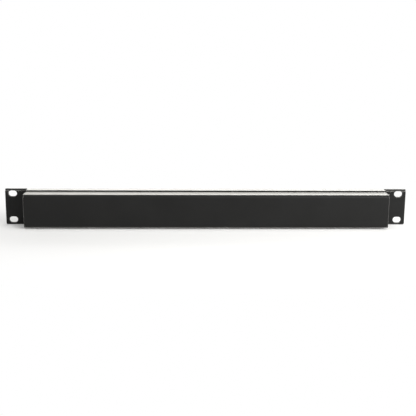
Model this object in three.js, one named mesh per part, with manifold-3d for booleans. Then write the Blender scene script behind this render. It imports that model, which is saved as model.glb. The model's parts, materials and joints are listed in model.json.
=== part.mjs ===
// DMX splitter: a shallow one-unit rack box with one input, a link and eight isolated outputs.
// Millimetres, +Z up, the front panel faces -Y, +X is to the right seen from the front.
// The origin is the middle of the base of the box that holds the whole unit.
import * as THREE from 'three';
import { mergeVertices } from 'three/addons/utils/BufferGeometryUtils.js';
import Module from 'manifold-3d';

const wasm = await Module();
wasm.setup();

// Clearances
const RUNNING = 0.3; // round every sliding or turning piece
const FIT = 0.3; // round a body that passes through a cut-out
const SEAM = 0.4; // open seam between two folded walls
const OVERCUT = 1; // how far a cutting shape runs past the face it cuts

// Front panel, a sheet folded back along its top and bottom edges
const PANEL_WIDTH = 482.6;
const PANEL_HEIGHT = 43.6;
const PANEL_SHEET = 1.5;
const PANEL_CORNER = 1.0;
const LIP_DEPTH = 12.2;
const LIP_SETBACK = 0.5; // from the housing's end wall to the lip's end
const LIP_BEND = 2.0; // outer radius
const LIP_RELIEF = 1.2; // notch between a lip and an ear
const EAR_WIDTH = 26.8; // from the housing's end wall to the panel's end
const SLOT_INSET_X = 8.75; // from the panel's edge to a slot's middle
const SLOT_INSET_Z = 5.925;
const SLOT_LENGTH = 10;
const SLOT_WIDTH = 7;

// Rear housing, a folded tray with a rack flange on each end wall
const HOUSING_DEPTH = 29.2;
const HOUSING_SHEET = 1.2;
const HOUSING_BEND = 2.6; // outer radius
const LIP_CLEARANCE = 1.1; // between the housing's top and the panel's top lip
const END_OVERLAP = 7.8; // how far an end wall runs in behind the back
const FLANGE_SLOT_MARGIN = 0.5;
const BASE_SCREW_COUNT = 3;
const BASE_SCREW_INSET = 24.5; // from an end wall to the last screw
const BASE_SCREW_HOLE = 3.2;
const BASE_THREAD_HOLE = 2.5;
const BASE_SCREW_SETBACK = 6; // behind the panel's rear face

// D-size audio connectors, shared by the input, the link and the outputs
const GROUP_GAP = 8; // more than a pitch between the link and the first output
const INPUT_MARGIN = 7.5; // from the housing's end wall to the input's flange
const POWER_ROOM = 40.5; // at least this much from the last output's flange to the switch's bezel
const FLANGE_RIM = 1.3; // beside the barrel
const FLANGE_RISE = 3.8; // above and below the barrel
const FLANGE_THICKNESS = 2.4;
const FLANGE_CORNER = 3;
const FLANGE_SCREW_INSET = 3.5;
const FLANGE_SCREW_HOLE = 3.2;
const BARREL_DEPTH = 18; // behind the panel's front face
const CONTACT_CIRCLE = 7.9;

// Female connector
const LINER_DIAMETER = 15.6;
const LINER_RECESS = 0.8;
const RING_GAP = 1.9; // round the liner, for a plug's sleeve
const SOCKET_WALL = 2;
const CONTACT_HOLE = 2.9;
const CONTACT_HOLE_DEPTH = 12;
const KEYWAY_WIDTH = 2.6;
const KEYWAY_DEPTH = 1.4;
const KEYWAY_LENGTH = 11;
const COLLAR_STEP = 1.7;
const COLLAR_LENGTH = 2.5; // from the barrel's end to the board

// Latch of a female connector
const LATCH_TRAVEL = 1.4;
const LATCH_PROUD = 1.6;
const LATCH_TAB_WIDTH = 7;
const LATCH_TAB_HEIGHT = 3.4;
const LATCH_STEM_WIDTH = 5;
const LATCH_STEM_THICKNESS = 1.3;
const LATCH_TOOTH_WIDTH = 3;
const LATCH_TOOTH_LENGTH = 2.2;
const LATCH_REACH = 10; // from the panel's front face to the stem's end
const LATCH_RIDGES = 3;
const LATCH_RIDGE_DEPTH = 0.4;

// Male connector
const PLUG_WALL = 3.3;
const PLUG_DEPTH = 15;
const PIN_DIAMETER = 2.4;
const PIN_RECESS = 2.4; // from the flange's face to the pin tips
const PIN_TIP = 0.6;
const KEY_WIDTH = 2.2;
const KEY_HEIGHT = 1.1;
const KEY_START = 4;
const CATCH_WIDTH = 6;
const CATCH_DEPTH = 5;

// Mains inlet with its fuse drawer
const INLET_MARGIN = 5.5; // from the housing's end wall to the inlet's flange
const INLET_FLANGE_EAR = 11; // beside the body
const INLET_FLANGE_RIM = 1.2; // above and below the body
const INLET_FLANGE_THICKNESS = 3;
const INLET_FLANGE_CORNER = 5;
const INLET_SCREW_INSET = 5;
const INLET_SCREW_HOLE = 3.4;
const INLET_WALL = 1.4;
const INLET_SIDE_WALL = 1.8;
const INLET_REAR_WALL = 4.5;
const RECESS_WIDTH = 24.4;
const RECESS_HEIGHT = 16.4;
const RECESS_CHAMFER = 4.6;
const RECESS_DEPTH = 15.5;
const BLADE_HEIGHT = 4;
const BLADE_THICKNESS = 2;
const BLADE_RECESS = 3.5; // from the flange's face to the live and neutral tips
const BLADE_SPREAD = 14;
const BLADE_OFFSET = 2; // earth above the middle, live and neutral below it
const EARTH_EXTRA = 1.2;
const TAB_WIDTH = 4.8;
const TAB_THICKNESS = 0.8;
const TAB_LENGTH = 7;
const DRAWER_WALL = 0.7; // beyond the fuse's ends
const DRAWER_FLOOR = 1.1; // below and above the fuse
const DRAWER_DEPTH = 14.5;
const DRAWER_PROUD = 0.6;
const DRAWER_GRIP_WIDTH = 9;
const DRAWER_GRIP_DEPTH = 1.2;
const FUSE_DIAMETER = 5.2;
const FUSE_LENGTH = 20;
const FUSE_CAP = 5.4;
const FUSE_CAP_STEP = 0.2;

// Rocker switch
const SWITCH_GAP = 6; // from the inlet's flange to the bezel
const BEZEL_SIDE = 0.8; // beside the body
const BEZEL_RISE = 0.7; // above and below the body
const BEZEL_THICKNESS = 2;
const BEZEL_CORNER = 1.2;
const SWITCH_WALL = 1.1;
const SWITCH_DEPTH = 15;
const ROCKER_WIDTH = 10.6;
const ROCKER_RADIUS = 8.4;
const ROCKER_HORN_ANGLE = 60; // degrees from straight ahead
const ROCKER_HEEL_ANGLE = 115;
const ROCKER_DISH = 1.6; // how far the middle lies behind the horns
const ROCKER_TILT = 11; // each way from the middle
const ROCKER_PIVOT_DEPTH = 1.6; // behind the panel's front face
const TRUNNION_DIAMETER = 2.4;
const TRUNNION_LENGTH = 0.9;
const SWITCH_TAB_PITCH = 6.5;

// Main board and what stands on it
const BOARD_THICKNESS = 1.6;
const BOARD_END_GAP = 2.3; // to the housing's end wall
const BOARD_SWITCH_GAP = 6.8; // to the switch's body
const BOARD_MARGIN = 0.9; // to the housing above and below
const DRIVER_WIDTH = 5;
const DRIVER_HEIGHT = 4;
const DRIVER_THICKNESS = 1.7;
const STANDOFF_FLATS = 5.5;
const STANDOFF_INSET = 3.6;
const STANDOFF_SCREW_HOLE = 3.2;
const TRANSFORMER_WIDTH = 17;
const TRANSFORMER_HEIGHT = 20;
const TRANSFORMER_DEPTH = 15;
const TRANSFORMER_CORE = 7;
const BOBBIN_INSET = 1; // inside the core at each side
const BOBBIN_SETBACK = 1.5; // behind the core's front
const CORE_STANDOFF = 2; // from the board to the core
const TRANSFORMER_GAP = 0.8; // beside the last connector's barrel
const TRANSFORMER_DROP = 4;
const BULK_CAPACITOR_DIAMETER = 10;
const BULK_CAPACITOR_LENGTH = 15;
const OUTPUT_CAPACITOR_DIAMETER = 8;
const OUTPUT_CAPACITOR_LENGTH = 12;
const CAPACITOR_GAP = 0.5; // beside the standoffs
const CAPACITOR_BEAD = 0.5;
const CAPACITOR_FOOT = 0.5; // from the board to the groove
const MAINS_CAPACITOR_RISE = 4.5;
const OUTPUT_CAPACITOR_DROP = 6;

// Light pipes of the status lights
const LIGHT_DIAMETER = 3;
const LIGHT_MARGIN = 0.5; // to the flange on each side
const LIGHT_PROUD = 0.9;
const LIGHT_DOME_FLAT = 1.8;
const LIGHT_DOME_STEP = 0.2;

// Facets round a full circle
const BARREL_FACETS = 24;
const LINER_FACETS = 20;
const CAPACITOR_FACETS = 12;
const SMALL_FACETS = 10;
const TINY_FACETS = 8;
const HEX_SIDES = 6;
const BEND_STEPS = 4;
const CORNER_STEPS = 3;

// Sizes that follow from the driving ones
const PANEL_REAR = PANEL_SHEET;
const PANEL_MIDDLE = PANEL_HEIGHT / 2;
const HOUSING_WIDTH = PANEL_WIDTH - 2 * EAR_WIDTH;
const LIP_LENGTH = HOUSING_WIDTH - 2 * LIP_SETBACK;
const SLOT_SPACING_X = PANEL_WIDTH - 2 * SLOT_INSET_X;
const SLOT_SPACING_Z = PANEL_HEIGHT - 2 * SLOT_INSET_Z;
const BASE_SCREW_SPACING = (HOUSING_WIDTH - 2 * BASE_SCREW_INSET) / (BASE_SCREW_COUNT - 1);
const HOUSING_BOTTOM = PANEL_SHEET;
const HOUSING_TOP = PANEL_HEIGHT - PANEL_SHEET - LIP_CLEARANCE;
const HOUSING_REAR = PANEL_REAR + HOUSING_DEPTH;
const FLANGE_REAR = PANEL_REAR + HOUSING_SHEET;
const SOCKET_BORE = LINER_DIAMETER + 2 * RING_GAP;
const BARREL_DIAMETER = SOCKET_BORE + 2 * SOCKET_WALL;
const PLUG_BORE = BARREL_DIAMETER - 2 * PLUG_WALL;
const COLLAR_DIAMETER = LINER_DIAMETER + 2 * COLLAR_STEP;
const BOARD_DEPTH = BARREL_DEPTH + COLLAR_LENGTH; // from the panel's front face to the board
const FLANGE_WIDTH = BARREL_DIAMETER + 2 * FLANGE_RIM;
const FLANGE_HEIGHT = BARREL_DIAMETER + 2 * FLANGE_RISE;
const FLANGE_SCREW_X = FLANGE_WIDTH - 2 * FLANGE_SCREW_INSET;
const FLANGE_SCREW_Z = FLANGE_HEIGHT - 2 * FLANGE_SCREW_INSET;
const FRONT_REACH = FLANGE_THICKNESS + LATCH_PROUD;
const MIDDLE_DEPTH = (HOUSING_REAR - FRONT_REACH) / 2;

// Inlet body, centred on its own flange: the recess above, the drawer below
const DRAWER_WIDTH = FUSE_LENGTH + 2 * (RUNNING + DRAWER_WALL);
const DRAWER_HEIGHT = FUSE_DIAMETER + 2 * DRAWER_FLOOR;
const POCKET_WIDTH = DRAWER_WIDTH + 2 * RUNNING;
const POCKET_HEIGHT = DRAWER_HEIGHT + 2 * RUNNING;
const INLET_BODY_WIDTH = RECESS_WIDTH + 2 * INLET_SIDE_WALL;
const INLET_BODY_HEIGHT = RECESS_HEIGHT + POCKET_HEIGHT + 3 * INLET_WALL;
const INLET_FLANGE_WIDTH = INLET_BODY_WIDTH + 2 * INLET_FLANGE_EAR;
const INLET_FLANGE_HEIGHT = INLET_BODY_HEIGHT + 2 * INLET_FLANGE_RIM;
const INLET_SCREW_SPACING = INLET_FLANGE_WIDTH - 2 * INLET_SCREW_INSET;
const RECESS_MIDDLE = INLET_BODY_HEIGHT / 2 - INLET_WALL - RECESS_HEIGHT / 2;
const POCKET_MIDDLE = -INLET_BODY_HEIGHT / 2 + INLET_WALL + POCKET_HEIGHT / 2;
const RECESS_FLOOR = RECESS_DEPTH - INLET_FLANGE_THICKNESS;
const INLET_BODY_DEPTH = RECESS_FLOOR + INLET_REAR_WALL;
const BLADE_LENGTH = RECESS_DEPTH - BLADE_RECESS;

// Switch frame, centred on its bezel
const WINDOW_WIDTH = ROCKER_WIDTH + 2 * RUNNING;
const WINDOW_HEIGHT = 2 * (ROCKER_RADIUS + RUNNING);
const SWITCH_BODY_WIDTH = WINDOW_WIDTH + 2 * SWITCH_WALL;
const SWITCH_BODY_HEIGHT = WINDOW_HEIGHT + 2 * SWITCH_WALL;
const BEZEL_WIDTH = SWITCH_BODY_WIDTH + 2 * BEZEL_SIDE;
const BEZEL_HEIGHT = SWITCH_BODY_HEIGHT + 2 * BEZEL_RISE;

// Places along the front: as many outputs as there is room for
const CONNECTOR_PITCH = FLANGE_WIDTH + LIGHT_DIAMETER + 2 * LIGHT_MARGIN;
const CONNECTOR_GAP = CONNECTOR_PITCH + GROUP_GAP;
const INPUT_X = INPUT_MARGIN + FLANGE_WIDTH / 2 - HOUSING_WIDTH / 2;
const LINK_X = INPUT_X + CONNECTOR_PITCH;
const FIRST_OUTPUT_X = LINK_X + CONNECTOR_GAP;
const INLET_X = HOUSING_WIDTH / 2 - INLET_MARGIN - INLET_FLANGE_WIDTH / 2;
const SWITCH_X = INLET_X - INLET_FLANGE_WIDTH / 2 - SWITCH_GAP - BEZEL_WIDTH / 2;
const LAST_OUTPUT_LIMIT = SWITCH_X - BEZEL_WIDTH / 2 - POWER_ROOM - FLANGE_WIDTH / 2;
const OUTPUT_COUNT = 1 + Math.floor((LAST_OUTPUT_LIMIT - FIRST_OUTPUT_X) / CONNECTOR_PITCH);
const BOARD_LEFT = HOUSING_SHEET + BOARD_END_GAP - HOUSING_WIDTH / 2;
const BOARD_RIGHT = SWITCH_X - SWITCH_BODY_WIDTH / 2 - BOARD_SWITCH_GAP;

// Outlines: lists of points, counter-clockwise

function arc(cx, cy, radius, fromDegrees, toDegrees, steps) {
  const points = [];
  for (let i = 0; i <= steps; i += 1) {
    const angle = THREE.MathUtils.degToRad(fromDegrees + (toDegrees - fromDegrees) * i / steps);
    points.push(new THREE.Vector2(cx + radius * Math.cos(angle), cy + radius * Math.sin(angle)));
  }
  return points;
}

function circle(cx, cy, diameter, facets) {
  return arc(cx, cy, diameter / 2, 0, 360 - 360 / facets, facets - 1);
}

function rectangle(left, bottom, right, top) {
  return [
    new THREE.Vector2(left, bottom),
    new THREE.Vector2(right, bottom),
    new THREE.Vector2(right, top),
    new THREE.Vector2(left, top),
  ];
}

function roundedRectangle(cx, cy, width, height, radius) {
  const x = width / 2 - radius;
  const y = height / 2 - radius;
  return [
    ...arc(cx + x, cy - y, radius, -90, 0, CORNER_STEPS),
    ...arc(cx + x, cy + y, radius, 0, 90, CORNER_STEPS),
    ...arc(cx - x, cy + y, radius, 90, 180, CORNER_STEPS),
    ...arc(cx - x, cy - y, radius, 180, 270, CORNER_STEPS),
  ];
}

function obround(cx, cy, length, width) {
  const reach = (length - width) / 2;
  return [
    ...arc(cx + reach, cy, width / 2, -90, 90, SMALL_FACETS / 2),
    ...arc(cx - reach, cy, width / 2, 90, 270, SMALL_FACETS / 2),
  ];
}

// Solids

function solidOf(geometry) {
  const bare = geometry.clone();
  bare.deleteAttribute('normal');
  bare.deleteAttribute('uv');
  const merged = mergeVertices(bare, 1e-5);
  return new wasm.Manifold(new wasm.Mesh({
    numProp: 3,
    vertProperties: new Float32Array(merged.getAttribute('position').array),
    triVerts: new Uint32Array(merged.getIndex().array),
  }));
}

function geometryOf(solid) {
  const mesh = solid.getMesh();
  const indexed = new THREE.BufferGeometry();
  indexed.setAttribute('position', new THREE.BufferAttribute(mesh.vertProperties, 3));
  indexed.setIndex(new THREE.BufferAttribute(mesh.triVerts, 1));
  const faceted = indexed.toNonIndexed();
  faceted.computeVertexNormals();
  return faceted;
}

function extrude(points, length, basis, shift) {
  const geometry = new THREE.ExtrudeGeometry(new THREE.Shape(points), {
    depth: length,
    bevelEnabled: false,
    steps: 1,
  });
  geometry.applyMatrix4(basis);
  geometry.translate(shift.x, shift.y, shift.z);
  return solidOf(geometry);
}

const AXIS_X = new THREE.Vector3(1, 0, 0);
const AXIS_Y = new THREE.Vector3(0, 1, 0);
const AXIS_Z = new THREE.Vector3(0, 0, 1);

// An outline in Y and Z, drawn out from x0 to x1
function alongX(points, x0, x1) {
  const basis = new THREE.Matrix4().makeBasis(AXIS_Y, AXIS_Z, AXIS_X);
  return extrude(points, x1 - x0, basis, new THREE.Vector3(x0, 0, 0));
}

// An outline in X and Z, drawn out from y0 to y1
function alongY(points, y0, y1) {
  const basis = new THREE.Matrix4().makeBasis(AXIS_X, AXIS_Z, AXIS_Y.clone().negate());
  return extrude(points, y1 - y0, basis, new THREE.Vector3(0, y1, 0));
}

// An outline in X and Y, drawn out from z0 to z1
function alongZ(points, z0, z1) {
  return extrude(points, z1 - z0, new THREE.Matrix4(), new THREE.Vector3(0, 0, z0));
}

function joined(solids) {
  return solids.reduce((whole, piece) => whole.add(piece));
}

function cutBy(solid, tools) {
  return tools.reduce((rest, tool) => rest.subtract(tool), solid);
}

function box(x0, x1, y0, y1, z0, z1) {
  return alongZ(rectangle(x0, y0, x1, y1), z0, z1);
}

// A round piece with its axis along Y: the profile lists [radius, y] from the rear to the front
function turned(profile, facets) {
  const points = profile.map(([radius, y]) => new THREE.Vector2(radius, y));
  return solidOf(new THREE.LatheGeometry(points, facets));
}

// Materials

function finish(color, roughness, metalness) {
  return new THREE.MeshStandardMaterial({ color, roughness, metalness });
}

const blackCoat = finish(0x1b1b1a, 0.42, 0.3);
const connectorBlack = finish(0x141414, 0.36, 0.5);
const mouldedBlack = finish(0x101010, 0.5, 0);
const latchBlack = finish(0x232323, 0.4, 0.2);
const silverContact = finish(0xc9c6bd, 0.25, 0.95);
const tinnedBrass = finish(0xb9b6ae, 0.3, 0.9);
const greenBoard = finish(0x1c5a33, 0.5, 0);
const nickelBrass = finish(0xb5b0a4, 0.35, 0.9);
const ferrite = finish(0x3a3a3c, 0.6, 0.1);
const sleeveBlue = finish(0x25304f, 0.35, 0.1);
const clearPipe = finish(0xdfe6df, 0.15, 0);
const fuseGlass = finish(0xd8d8d2, 0.2, 0.3);

const unit = new THREE.Group();

function place(name, geometry, material, parent, x = 0, y = 0, z = 0) {
  const mesh = new THREE.Mesh(geometry, material);
  mesh.name = name;
  mesh.position.set(x, y, z);
  parent.add(mesh);
  return mesh;
}

// Where things sit along the front

const outputs = [];
for (let i = 0; i < OUTPUT_COUNT; i += 1) {
  outputs.push(FIRST_OUTPUT_X + CONNECTOR_PITCH * i);
}
const connectors = [INPUT_X, LINK_X, ...outputs];
const LAST_OUTPUT_X = outputs[outputs.length - 1];
const LIGHT_HEIGHT = PANEL_MIDDLE + FLANGE_SCREW_Z / 2;
const lights = [
  { name: 'input_light_pipe', x: INPUT_X + CONNECTOR_PITCH / 2 },
  ...outputs.map((x, i) => ({ name: `output_${i + 1}_light_pipe`, x: x - CONNECTOR_PITCH / 2 })),
  { name: 'power_light_pipe', x: LAST_OUTPUT_X + CONNECTOR_PITCH / 2 },
];
const slots = [];
for (const sideX of [-1, 1]) {
  for (const sideZ of [-1, 1]) {
    slots.push([sideX * SLOT_SPACING_X / 2, PANEL_MIDDLE + sideZ * SLOT_SPACING_Z / 2]);
  }
}
const flangeScrews = [
  [-FLANGE_SCREW_X / 2, FLANGE_SCREW_Z / 2],
  [FLANGE_SCREW_X / 2, -FLANGE_SCREW_Z / 2],
];
const baseScrews = [];
for (let i = 0; i < BASE_SCREW_COUNT; i += 1) {
  baseScrews.push((i - (BASE_SCREW_COUNT - 1) / 2) * BASE_SCREW_SPACING);
}
const BOARD_BOTTOM = HOUSING_BOTTOM + HOUSING_SHEET + BOARD_MARGIN;
const BOARD_TOP = HOUSING_TOP - HOUSING_SHEET - BOARD_MARGIN;
const STANDOFF_LOW = BOARD_BOTTOM + STANDOFF_INSET;
const STANDOFF_HIGH = BOARD_TOP - STANDOFF_INSET;
const standoffs = [
  [BOARD_LEFT + STANDOFF_INSET, STANDOFF_LOW],
  [LINK_X + CONNECTOR_PITCH / 2, STANDOFF_HIGH],
  [BOARD_RIGHT - STANDOFF_INSET, STANDOFF_LOW],
  [BOARD_RIGHT - STANDOFF_INSET, STANDOFF_HIGH],
];

function frontPanel() {
  const earInner = LIP_LENGTH / 2 + LIP_RELIEF;
  const earWidth = PANEL_WIDTH / 2 - earInner;
  const earMiddle = earInner + earWidth / 2;
  const web = box(-earMiddle, earMiddle, 0, PANEL_REAR, LIP_BEND, PANEL_HEIGHT - LIP_BEND);
  const ears = [-1, 1].map((side) => alongY(
    roundedRectangle(side * earMiddle, PANEL_MIDDLE, earWidth, PANEL_HEIGHT, PANEL_CORNER),
    0,
    PANEL_REAR,
  ));
  const inner = LIP_BEND - PANEL_SHEET;
  const lipEnd = PANEL_REAR + LIP_DEPTH;
  const channel = alongX([
    ...arc(LIP_BEND, LIP_BEND, LIP_BEND, 180, 270, BEND_STEPS),
    new THREE.Vector2(lipEnd, 0),
    new THREE.Vector2(lipEnd, PANEL_SHEET),
    ...arc(LIP_BEND, LIP_BEND, inner, 270, 180, BEND_STEPS),
    ...arc(LIP_BEND, PANEL_HEIGHT - LIP_BEND, inner, 180, 90, BEND_STEPS),
    new THREE.Vector2(lipEnd, PANEL_HEIGHT - PANEL_SHEET),
    new THREE.Vector2(lipEnd, PANEL_HEIGHT),
    ...arc(LIP_BEND, PANEL_HEIGHT - LIP_BEND, LIP_BEND, 90, 180, BEND_STEPS),
  ], -LIP_LENGTH / 2, LIP_LENGTH / 2);
  const through = (outline) => alongY(outline, -OVERCUT, PANEL_REAR + OVERCUT);
  const barrelHole = BARREL_DIAMETER + 2 * FIT;
  const holes = [
    ...slots.map(([x, z]) => through(obround(x, z, SLOT_LENGTH, SLOT_WIDTH))),
    ...connectors.map((x) => through(circle(x, PANEL_MIDDLE, barrelHole, BARREL_FACETS))),
    ...connectors.flatMap((x) => flangeScrews.map(
      ([dx, dz]) => through(circle(x + dx, PANEL_MIDDLE + dz, FLANGE_SCREW_HOLE, TINY_FACETS)),
    )),
    ...lights.map(({ x }) => through(circle(x, LIGHT_HEIGHT, LIGHT_DIAMETER + 2 * FIT, TINY_FACETS))),
    through(roundedRectangle(
      INLET_X,
      PANEL_MIDDLE,
      INLET_BODY_WIDTH + 2 * FIT,
      INLET_BODY_HEIGHT + 2 * FIT,
      PANEL_CORNER,
    )),
    ...[-1, 1].map((side) => through(
      circle(INLET_X + side * INLET_SCREW_SPACING / 2, PANEL_MIDDLE, INLET_SCREW_HOLE, TINY_FACETS),
    )),
    through(rectangle(
      SWITCH_X - SWITCH_BODY_WIDTH / 2 - FIT,
      PANEL_MIDDLE - SWITCH_BODY_HEIGHT / 2 - FIT,
      SWITCH_X + SWITCH_BODY_WIDTH / 2 + FIT,
      PANEL_MIDDLE + SWITCH_BODY_HEIGHT / 2 + FIT,
    )),
    ...baseScrews.map((x) => alongZ(
      circle(x, PANEL_REAR + BASE_SCREW_SETBACK, BASE_SCREW_HOLE, SMALL_FACETS),
      -OVERCUT,
      PANEL_SHEET + OVERCUT,
    )),
  ];
  return cutBy(joined([web, ...ears, channel]), holes);
}

// Plan of one end: back wall, end wall and the flange that turns out along the panel
function housingPlan(side) {
  const half = HOUSING_WIDTH / 2;
  const inner = HOUSING_BEND - HOUSING_SHEET;
  const flangeBendX = half - HOUSING_SHEET + HOUSING_BEND;
  const flangeBendY = PANEL_REAR + HOUSING_BEND;
  const points = [
    new THREE.Vector2(half - END_OVERLAP, HOUSING_REAR - HOUSING_SHEET),
    ...arc(half - HOUSING_BEND, HOUSING_REAR - HOUSING_BEND, inner, 90, 0, BEND_STEPS),
    ...arc(flangeBendX, flangeBendY, HOUSING_BEND, 180, 270, BEND_STEPS),
    new THREE.Vector2(PANEL_WIDTH / 2, PANEL_REAR),
    new THREE.Vector2(PANEL_WIDTH / 2, FLANGE_REAR),
    ...arc(flangeBendX, flangeBendY, inner, 270, 180, BEND_STEPS),
    ...arc(half - HOUSING_BEND, HOUSING_REAR - HOUSING_BEND, HOUSING_BEND, 0, 90, BEND_STEPS),
    new THREE.Vector2(half - END_OVERLAP, HOUSING_REAR),
  ];
  return side > 0 ? points : points.map((p) => new THREE.Vector2(-p.x, p.y)).reverse();
}

function rearHousing() {
  const inner = HOUSING_BEND - HOUSING_SHEET;
  const bendY = HOUSING_REAR - HOUSING_BEND;
  const half = HOUSING_WIDTH / 2;
  const far = PANEL_WIDTH;
  const past = HOUSING_REAR + OVERCUT;
  const ends = [-1, 1].map((side) => cutBy(
    alongZ(housingPlan(side), HOUSING_BOTTOM, HOUSING_TOP),
    [
      box(-far, far, bendY, past, HOUSING_TOP - HOUSING_BEND, HOUSING_TOP + OVERCUT),
      box(-far, far, bendY, past, HOUSING_BOTTOM - OVERCUT, HOUSING_BOTTOM + HOUSING_BEND),
    ],
  ));
  const plateFront = LIP_BEND + FIT;
  const plateEnd = half - HOUSING_SHEET - SEAM;
  const shellOutline = [
    new THREE.Vector2(plateFront, HOUSING_BOTTOM),
    ...arc(bendY, HOUSING_BOTTOM + HOUSING_BEND, HOUSING_BEND, -90, 0, BEND_STEPS),
    ...arc(bendY, HOUSING_TOP - HOUSING_BEND, HOUSING_BEND, 0, 90, BEND_STEPS),
    new THREE.Vector2(plateFront, HOUSING_TOP),
    new THREE.Vector2(plateFront, HOUSING_TOP - HOUSING_SHEET),
    ...arc(bendY, HOUSING_TOP - HOUSING_BEND, inner, 90, 0, BEND_STEPS),
    ...arc(bendY, HOUSING_BOTTOM + HOUSING_BEND, inner, 0, -90, BEND_STEPS),
    new THREE.Vector2(plateFront, HOUSING_BOTTOM + HOUSING_SHEET),
  ];
  const wrap = cutBy(
    alongX(shellOutline, -plateEnd, plateEnd),
    [-1, 1].map((side) => box(
      Math.min(side * (half - HOUSING_BEND), side * half),
      Math.max(side * (half - HOUSING_BEND), side * half),
      bendY,
      past,
      HOUSING_BOTTOM + HOUSING_BEND,
      HOUSING_TOP - HOUSING_BEND,
    )),
  );
  const holes = [
    ...slots.map(([x, z]) => alongY(
      obround(x, z, SLOT_LENGTH + 2 * FLANGE_SLOT_MARGIN, SLOT_WIDTH + 2 * FLANGE_SLOT_MARGIN),
      PANEL_REAR - OVERCUT,
      FLANGE_REAR + OVERCUT,
    )),
    ...baseScrews.map((x) => alongZ(
      circle(x, PANEL_REAR + BASE_SCREW_SETBACK, BASE_THREAD_HOLE, TINY_FACETS),
      HOUSING_BOTTOM - OVERCUT,
      HOUSING_BOTTOM + HOUSING_SHEET + OVERCUT,
    )),
  ];
  return cutBy(joined([wrap, ...ends]), holes);
}

// Flange and barrel of a D-size connector, axis at x = 0, z = 0, panel front at y = 0
function connectorBlank() {
  const flange = alongY(
    roundedRectangle(0, 0, FLANGE_WIDTH, FLANGE_HEIGHT, FLANGE_CORNER),
    -FLANGE_THICKNESS,
    0,
  );
  const barrel = alongY(
    circle(0, 0, BARREL_DIAMETER, BARREL_FACETS),
    -FLANGE_THICKNESS / 2,
    BARREL_DEPTH,
  );
  const screws = flangeScrews.map(([x, z]) => alongY(
    circle(x, z, FLANGE_SCREW_HOLE, TINY_FACETS),
    -FLANGE_THICKNESS - OVERCUT,
    OVERCUT,
  ));
  return cutBy(joined([flange, barrel]), screws);
}

// Angles of the three contacts: two beside the axis and one below it
const contactAngles = [180, 0, 270];

function contactPlaces() {
  return contactAngles.map((degrees) => {
    const angle = THREE.MathUtils.degToRad(degrees);
    return [CONTACT_CIRCLE / 2 * Math.cos(angle), CONTACT_CIRCLE / 2 * Math.sin(angle)];
  });
}

const LATCH_BOTTOM = SOCKET_BORE / 2 + RUNNING / 2;
const LATCH_SLOT_END = LATCH_REACH + LATCH_TRAVEL + RUNNING;
const LATCH_SLOT_FLOOR = SOCKET_BORE / 2 - OVERCUT;

function femaleShell() {
  const bore = alongY(
    circle(0, 0, SOCKET_BORE, BARREL_FACETS),
    -FLANGE_THICKNESS - OVERCUT,
    LATCH_SLOT_END,
  );
  const rearBore = alongY(
    circle(0, 0, LINER_DIAMETER + 2 * FIT, LINER_FACETS),
    -FLANGE_THICKNESS,
    BARREL_DEPTH + OVERCUT,
  );
  const tabHalf = LATCH_TAB_WIDTH / 2 + RUNNING;
  const window = box(
    -tabHalf,
    tabHalf,
    -FLANGE_THICKNESS - OVERCUT,
    0,
    LATCH_SLOT_FLOOR,
    LATCH_BOTTOM + LATCH_TAB_HEIGHT + RUNNING,
  );
  const stemHalf = LATCH_STEM_WIDTH / 2 + RUNNING;
  const channel = box(
    -stemHalf,
    stemHalf,
    -RUNNING,
    LATCH_SLOT_END,
    LATCH_SLOT_FLOOR,
    BARREL_DIAMETER / 2 + OVERCUT,
  );
  return cutBy(connectorBlank(), [bore, rearBore, window, channel]);
}

function femaleLiner() {
  const face = -FLANGE_THICKNESS + LINER_RECESS;
  const post = alongY(circle(0, 0, LINER_DIAMETER, LINER_FACETS), face, BOARD_DEPTH);
  const collar = alongY(circle(0, 0, COLLAR_DIAMETER, LINER_FACETS), BARREL_DEPTH, BOARD_DEPTH);
  const holes = contactPlaces().map(([x, z]) => alongY(
    circle(x, z, CONTACT_HOLE, TINY_FACETS),
    face - OVERCUT,
    face + CONTACT_HOLE_DEPTH,
  ));
  const keyway = box(
    -KEYWAY_WIDTH / 2,
    KEYWAY_WIDTH / 2,
    face - OVERCUT,
    face + KEYWAY_LENGTH,
    LINER_DIAMETER / 2 - KEYWAY_DEPTH,
    LINER_DIAMETER / 2 + OVERCUT,
  );
  return cutBy(joined([post, collar]), [...holes, keyway]);
}

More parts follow.
